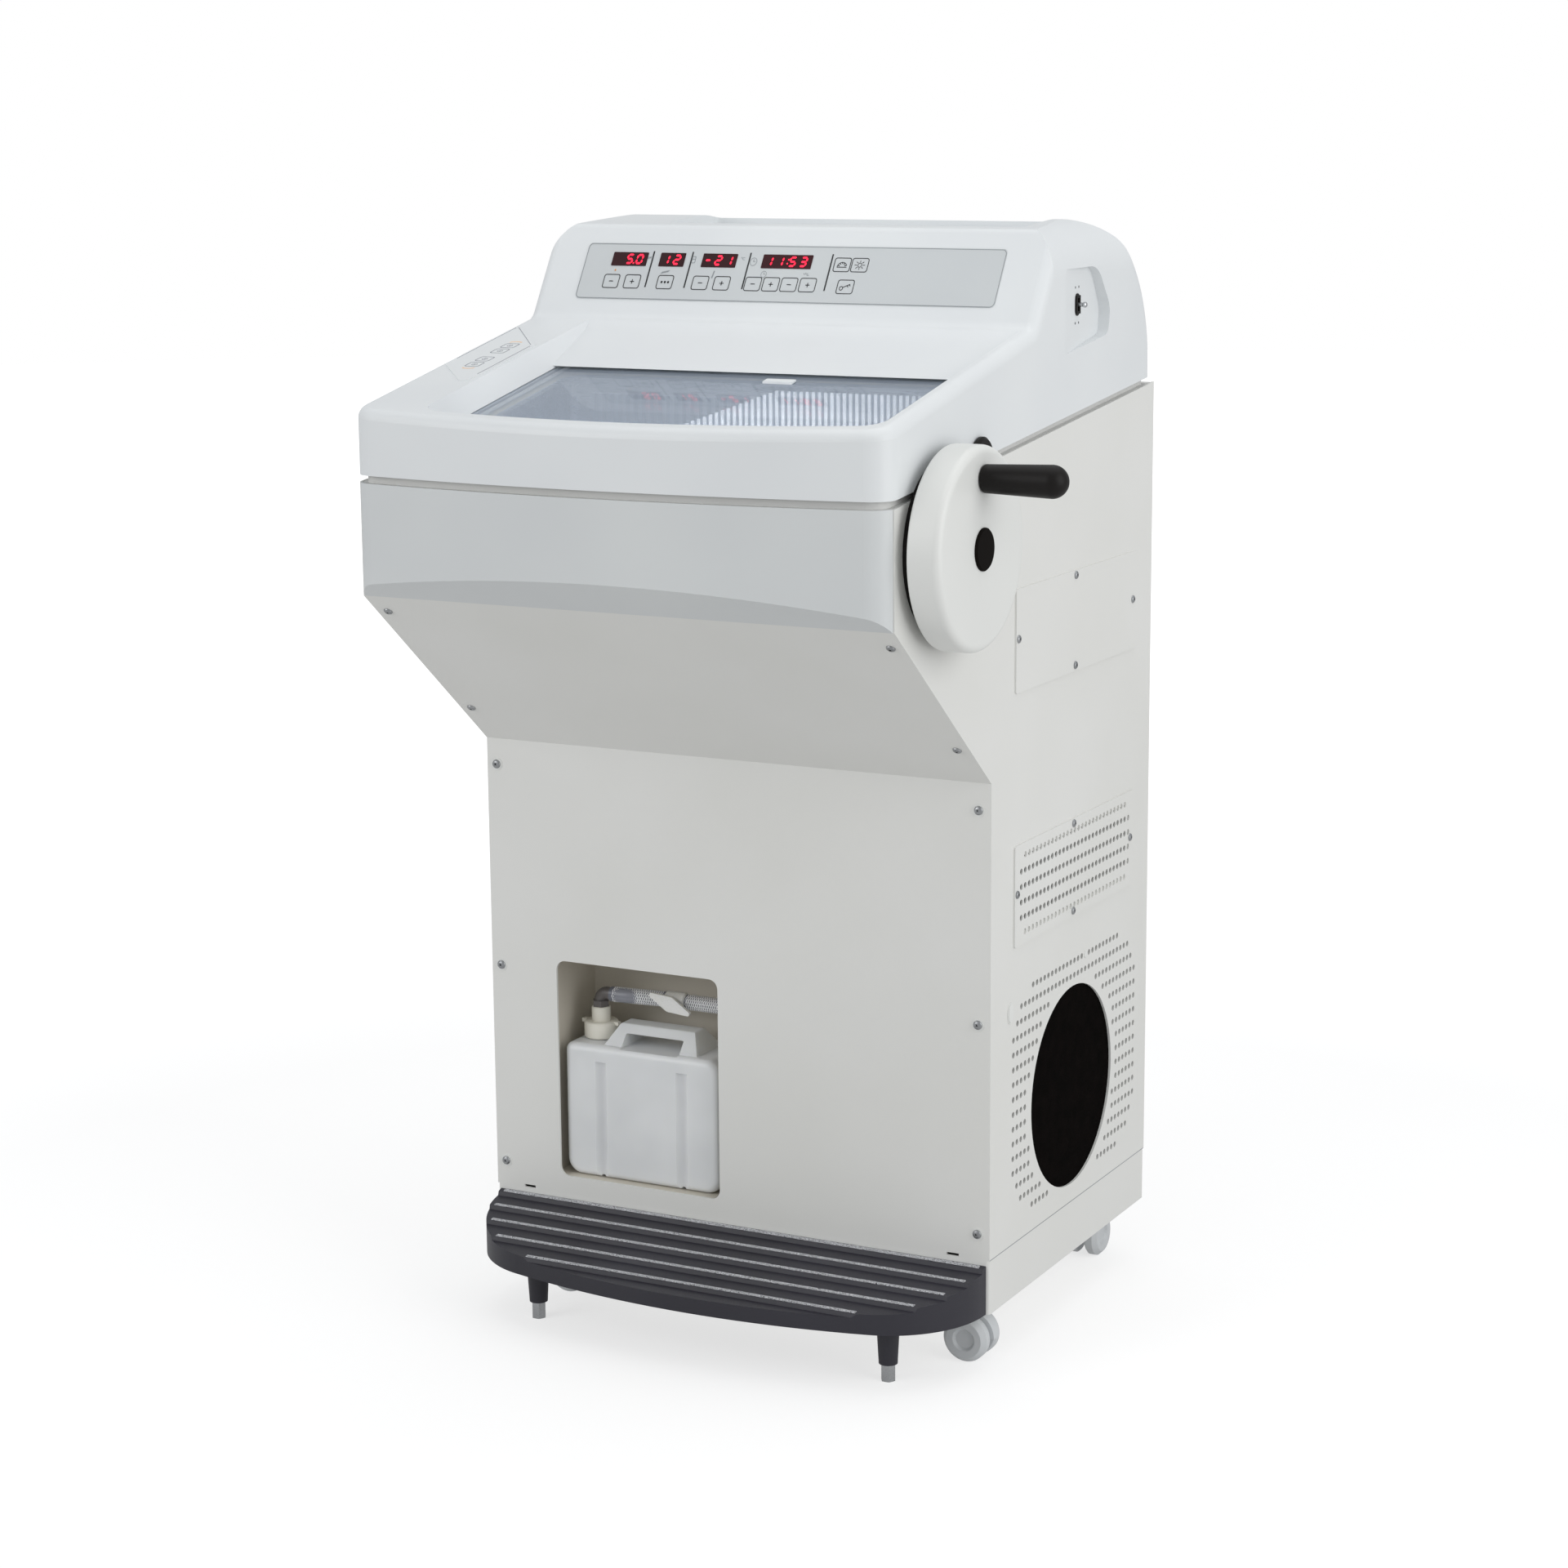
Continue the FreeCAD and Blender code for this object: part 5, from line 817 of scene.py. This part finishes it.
hole_radius, hole_pitch, vent_row_pitch, field_row_pitch = 3.3, 10.2, 16.4, 16.1
cover_middle, vent_middle, service_middle = 220.5, 499.75, 766.75
vent_rows, vent_columns = 6, 30
vent_holes = []
for row in range(vent_rows):
    ends = 1 if row in (0, vent_rows - 1) else 0
    for column in range(ends, vent_columns - ends):
        vent_holes.append((cover_middle + (column - (vent_columns - 1) / 2) * hole_pitch,
                           vent_middle + (row - (vent_rows - 1) / 2) * vent_row_pitch))
field_rows, field_columns, field_middle, field_corner = 16, 34, (227.5, 274), 52
intake_middle, intake_radius, intake_border = (218.5, 256), 111.5, 10.5
half_length, half_height = (field_columns - 1) / 2 * hole_pitch, (field_rows - 1) / 2 * field_row_pitch
field_holes = []
for row in range(field_rows):
    for column in range(field_columns):
        y, z = column * hole_pitch - half_length, row * field_row_pitch - half_height
        past_length = max(abs(y) - half_length + field_corner, 0)
        past_height = max(abs(z) - half_height + field_corner, 0)
        inside = math.hypot(past_length, past_height) <= field_corner + 1
        y, z = y + field_middle[0], z + field_middle[1]
        to_intake = math.hypot(y - intake_middle[0], z - intake_middle[1])
        if inside and to_intake > intake_radius + intake_border:
            field_holes.append((y, z))


def small_holes(spots):
    return [circle(y, z, hole_radius, 14) for y, z in spots]


cover_sheet = rounded(cover_middle, vent_middle, 328, 107.5, 3)
cover = punch([cover_sheet], small_holes(vent_holes), 0, 2)
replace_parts(close_piece("vent_cover_sheet", cover, "white_paint"), "vent_cover")

sheet_back, fold_back, shaft_hole = -2.5, -14.5, (-125, 886, 25.3)
side = [(0, plinth_top), (back_edge, plinth_top), (back_edge, 1001), (-226, 933), (-226, 816), (0, 630)]
openings = [rounded(cover_middle, z, 300, 79.5, 3) for z in (service_middle, vent_middle)]
openings += [circle(*intake_middle, intake_radius, 72), circle(*shaft_hole, 40)]
skin = punch([side], openings + small_holes(field_holes), sheet_back, 0)
add_band(skin, shrink(side, 3), shrink(side, 5.5), on_side, fold_back, sheet_back)
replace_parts(close_piece("right_side_sheet", skin, "white_paint"), "side_panel_right")
print(len(vent_holes), "vent holes and", len(field_holes), "holes round the intake")

# A near-black sheet behind the holes: painted shade for the dark inside of the cabinet.
shade_sheet_back, shade_sheet_front = -3.6, -2.8
mesh = bmesh.new()
add_plate(mesh, rounded(cover_middle, vent_middle, 322, 100, 4), on_side, shade_sheet_back, shade_sheet_front)
field_shade_sheet = rounded(*field_middle, 356, 262, 50, 17)
add_band(mesh, field_shade_sheet, circle(*intake_middle, intake_radius + 8, 72), on_side, shade_sheet_back, shade_sheet_front)
close_piece("hole_shade_sheet", mesh, "filter_mesh")

# %% [markdown]
# Two white plugs sit in the side sheet: an oval one low at the front and a small round one in the top
# row of the field of holes.

# %% Plugs


def oval(y, z, wide, high, count=24):
    return [around(y, z, wide, high, 2 * math.pi * i / count) for i in range(count)]


mesh = bmesh.new()
add_plate(mesh, oval(50, 378, 7.5, 11.5), on_side, -0.1, 0.8)
add_plate(mesh, oval(50, 378, 6, 10), on_side, 0.8, 1.5)
add_plate(mesh, circle(252.9, 394.75, 4.0, 20), on_side, -0.1, 0.9)
close_piece("side_plugs", mesh, "wheel_plastic")

# %% [markdown]
# The side sheets stand on the plinth and leave a hairline gap there; a thin grey line laid over it is painted
# shade for the gap.

# %% Painted shade of the hairline over the plinth


def on_left_side(y, z, lift=0.0):
    return at(-300 - lift, y, z)


# Grey strips along the foot of both side sheets: painted shade in the gap over the plinth.
mesh = bmesh.new()
for place in (on_side, on_left_side):
    add_plate(mesh, rounded(back_edge / 2, plinth_top, back_edge - 2, 0.9, 0.3, 2), place, -0.1, 0.08)
close_piece("plinth_gap_shade_line", mesh, "print_soft")

# %% [markdown]
# The main switch sits on an oval black plate in its pocket, with two printed dots above and two below
# it. The pocket's floor leans, so the same plane equation places all of them.

# %% Switch plate and dots
pocket_start, pocket_length, pocket_depth = 182, 123, 13
switch_middle, switch_height = 223, 1097


def on_pocket(y, z, lift=0.0):
    return at(300 - pocket_depth * (y - pocket_start) / pocket_length + lift, y, z)


mesh = bmesh.new()
add_plate(mesh, rounded(switch_middle, switch_height, 15, 23, 6.5, 5), on_pocket, -0.3, 0.9)
close_piece("switch_plate", mesh, "dark_plastic")
mesh = bmesh.new()
for y, z in ((217, 1115), (229, 1115), (217, 1078), (229, 1078)):
    add_plate(mesh, circle(y, z, 1.3, 16), on_pocket, -0.1, 0.15)
close_piece("switch_dots", mesh, "print_dark")

# %% [markdown]
# Behind the window stands the finned front of the evaporator, which shows through the glass as fine
# upright ribs. Pale pressed fins stand side by side on a darker base plate, and they get lower towards
# the left end of the row. The fins' pale colour is painted light, as lit metal looks, and the dark
# plate is painted shade in the gaps between them.

# %% Fins behind the window
# Lit and shaded copies of the fins' metal: painted light on the fins, painted shade on the plate between
# them.
finishes["fin_lit_pale"] = grained("fin_lit_pale", "#E2E8F0", "#EEF2F7", (0.4, 0.5), 900, 0.00004)
finishes["fin_gap_shade"] = grained("fin_gap_shade", "#3E4856", "#485362", (0.5, 0.6), 900, 0.00004)
fin_pitch, fin_width, fin_foot, fin_left, fin_count = 7.0, 3.6, 956, -100, 48
fin_highest, fin_lowest, fin_slope, fin_edge = 1018, 962, 0.35, 3
full_height_from = fin_left + (fin_highest - fin_lowest) / fin_slope


def fin_top(x):
    return min(fin_highest, fin_lowest + (x - fin_left) * fin_slope)


def on_fins(x, z, lift=0.0):
    return at(x, -1.0 - lift, z)


mesh = bmesh.new()
for i in range(fin_count):
    x = fin_left + i * fin_pitch
    low, high = fin_foot, fin_top(x)
    add_plate(mesh, rounded(x, (low + high) / 2, fin_width, high - low, 0.8, 2), on_fins, 0.6, 3.0)
close_piece("evaporator_fins", mesh, "fin_lit_pale")
mesh = bmesh.new()
far_fin = fin_left + (fin_count - 1) * fin_pitch
edge = [(fin_left - fin_edge, fin_foot), (far_fin + fin_edge, fin_foot), (far_fin + fin_edge, fin_highest),
        (full_height_from, fin_highest), (fin_left - fin_edge, fin_lowest)]
add_plate(mesh, edge, on_fins, 0.0, 0.7)
close_piece("evaporator_shade_plate", mesh, "fin_gap_shade")

# %% [markdown]
# Each tread of the footrest has a strip of grit near its nose, so that a wet shoe does not slip. The
# height of the tread is felt out by rays from above, and a strip ends where the bowed tread ends. The
# grit itself is a rough mixture of pale and dark grains.

# %% Grit on the footrest
grit, tree, shader = start_finish("grit", "#C9CBCF", 0.8)
colour_by(tree, shader, grain(tree, 1300, 1.0), "#2E2D33", "#D9DADE", 0.42, 0.52)
bump_by(tree, shader, grain(tree, 1300, 1.0), 0.0006, 1.0)
finishes["grit"] = grit


def tread_height(x, y):
    """Height in metres of the footrest under the point, felt from above."""
    solid = frame["nodes"]["footrest"]
    back = solid.matrix_world.inverted()
    start = back @ (at(x, y, 0) + Vector((0, 0, 0.4)))
    hit, spot = solid.ray_cast(start, (back.to_3x3() @ Vector((0, 0, -1))).normalized())[:2]
    return (solid.matrix_world @ spot).z if hit else None


first_nose, tread_pitch, grit_depth = -6.5, 26, 4.6
longest_reach, reach_step, end_room, same_height = 290, 2, 6, 0.002
mesh = bmesh.new()
for step in range(5):
    y = first_nose - tread_pitch * step
    level = tread_height(0, y + 3)
    reach = 0
    while reach < longest_reach:
        z = tread_height(reach + end_room, y + 0.5)
        if z is None or abs(z - tread_height(0, y + 0.5)) > same_height:
            break
        reach += reach_step
    rise = tread_height(0, y + 5) - tread_height(0, y + 1)

    def on_tread(u, v, lift, y=y, level=level, rise=rise):
        point = at(u, y + v, 0)
        point.z = level + rise / 4 * (v - 3) + lift / 1000
        return point

    add_plate(mesh, rounded(0, 3.2, 2 * reach, grit_depth, 0.5, 2), on_tread, -0.3, 0.5)
    print("tread", step, "strip reaches", reach, "mm")
close_piece("grit_strips", mesh, "grit")

# %% [markdown]
# The drain hose is clear tube with a woven braid of white yarn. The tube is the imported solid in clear
# finish; the yarn is made here as flat ribbons that wind round it in both directions and cross into
# diamonds.

# %% Braid of the hose
hose_start, hose_first, hose_step, hose_back, hose_height = -176.5, 66, 5.5, 48, 344.3
yarn_step = 1.2


def hose_middle(x):
    share = min(max((x - hose_start) / hose_first, 0), 1)
    return hose_back + hose_step * share * share * (3 - 2 * share), hose_height


def add_yarn(mesh, start, stop, turn, way_round, radius=8.62, half_width=0.4, pitch=21.0):
    """A flat ribbon that winds round the hose."""
    inner = radius - 0.3
    corners = ((-half_width, inner), (-half_width, radius), (half_width, radius), (half_width, inner))
    rows = []
    count = int((stop - start) / yarn_step)
    for i in range(count + 1):
        x = start + (stop - start) * i / count
        y, z = hose_middle(x)
        angle = turn + way_round * 2 * math.pi * (x - start) / pitch
        rows.append([mesh.verts.new(at(x + dx, y + r * math.cos(angle), z + r * math.sin(angle)))
                     for dx, r in corners])
    for a, b in zip(rows, rows[1:]):
        for i in range(4):
            j = (i + 1) % 4
            mesh.faces.new((a[i], a[j], b[j], b[i]))
    mesh.faces.new(rows[0])
    mesh.faces.new(rows[-1][::-1])


finishes["yarn"] = grained("yarn", "#E4E5E6", "#F2F2F2", (0.6, 0.75), 2400, 0.00012)
strands, braided = 8, ((-172, -113), (-83, -26))
mesh = bmesh.new()
for start, stop in braided:
    for strand in range(strands):
        for way_round in (-1, 1):
            add_yarn(mesh, start, stop, strand * 2 * math.pi / strands, way_round)
close_piece("hose_braid", mesh, "yarn", body="bottle")
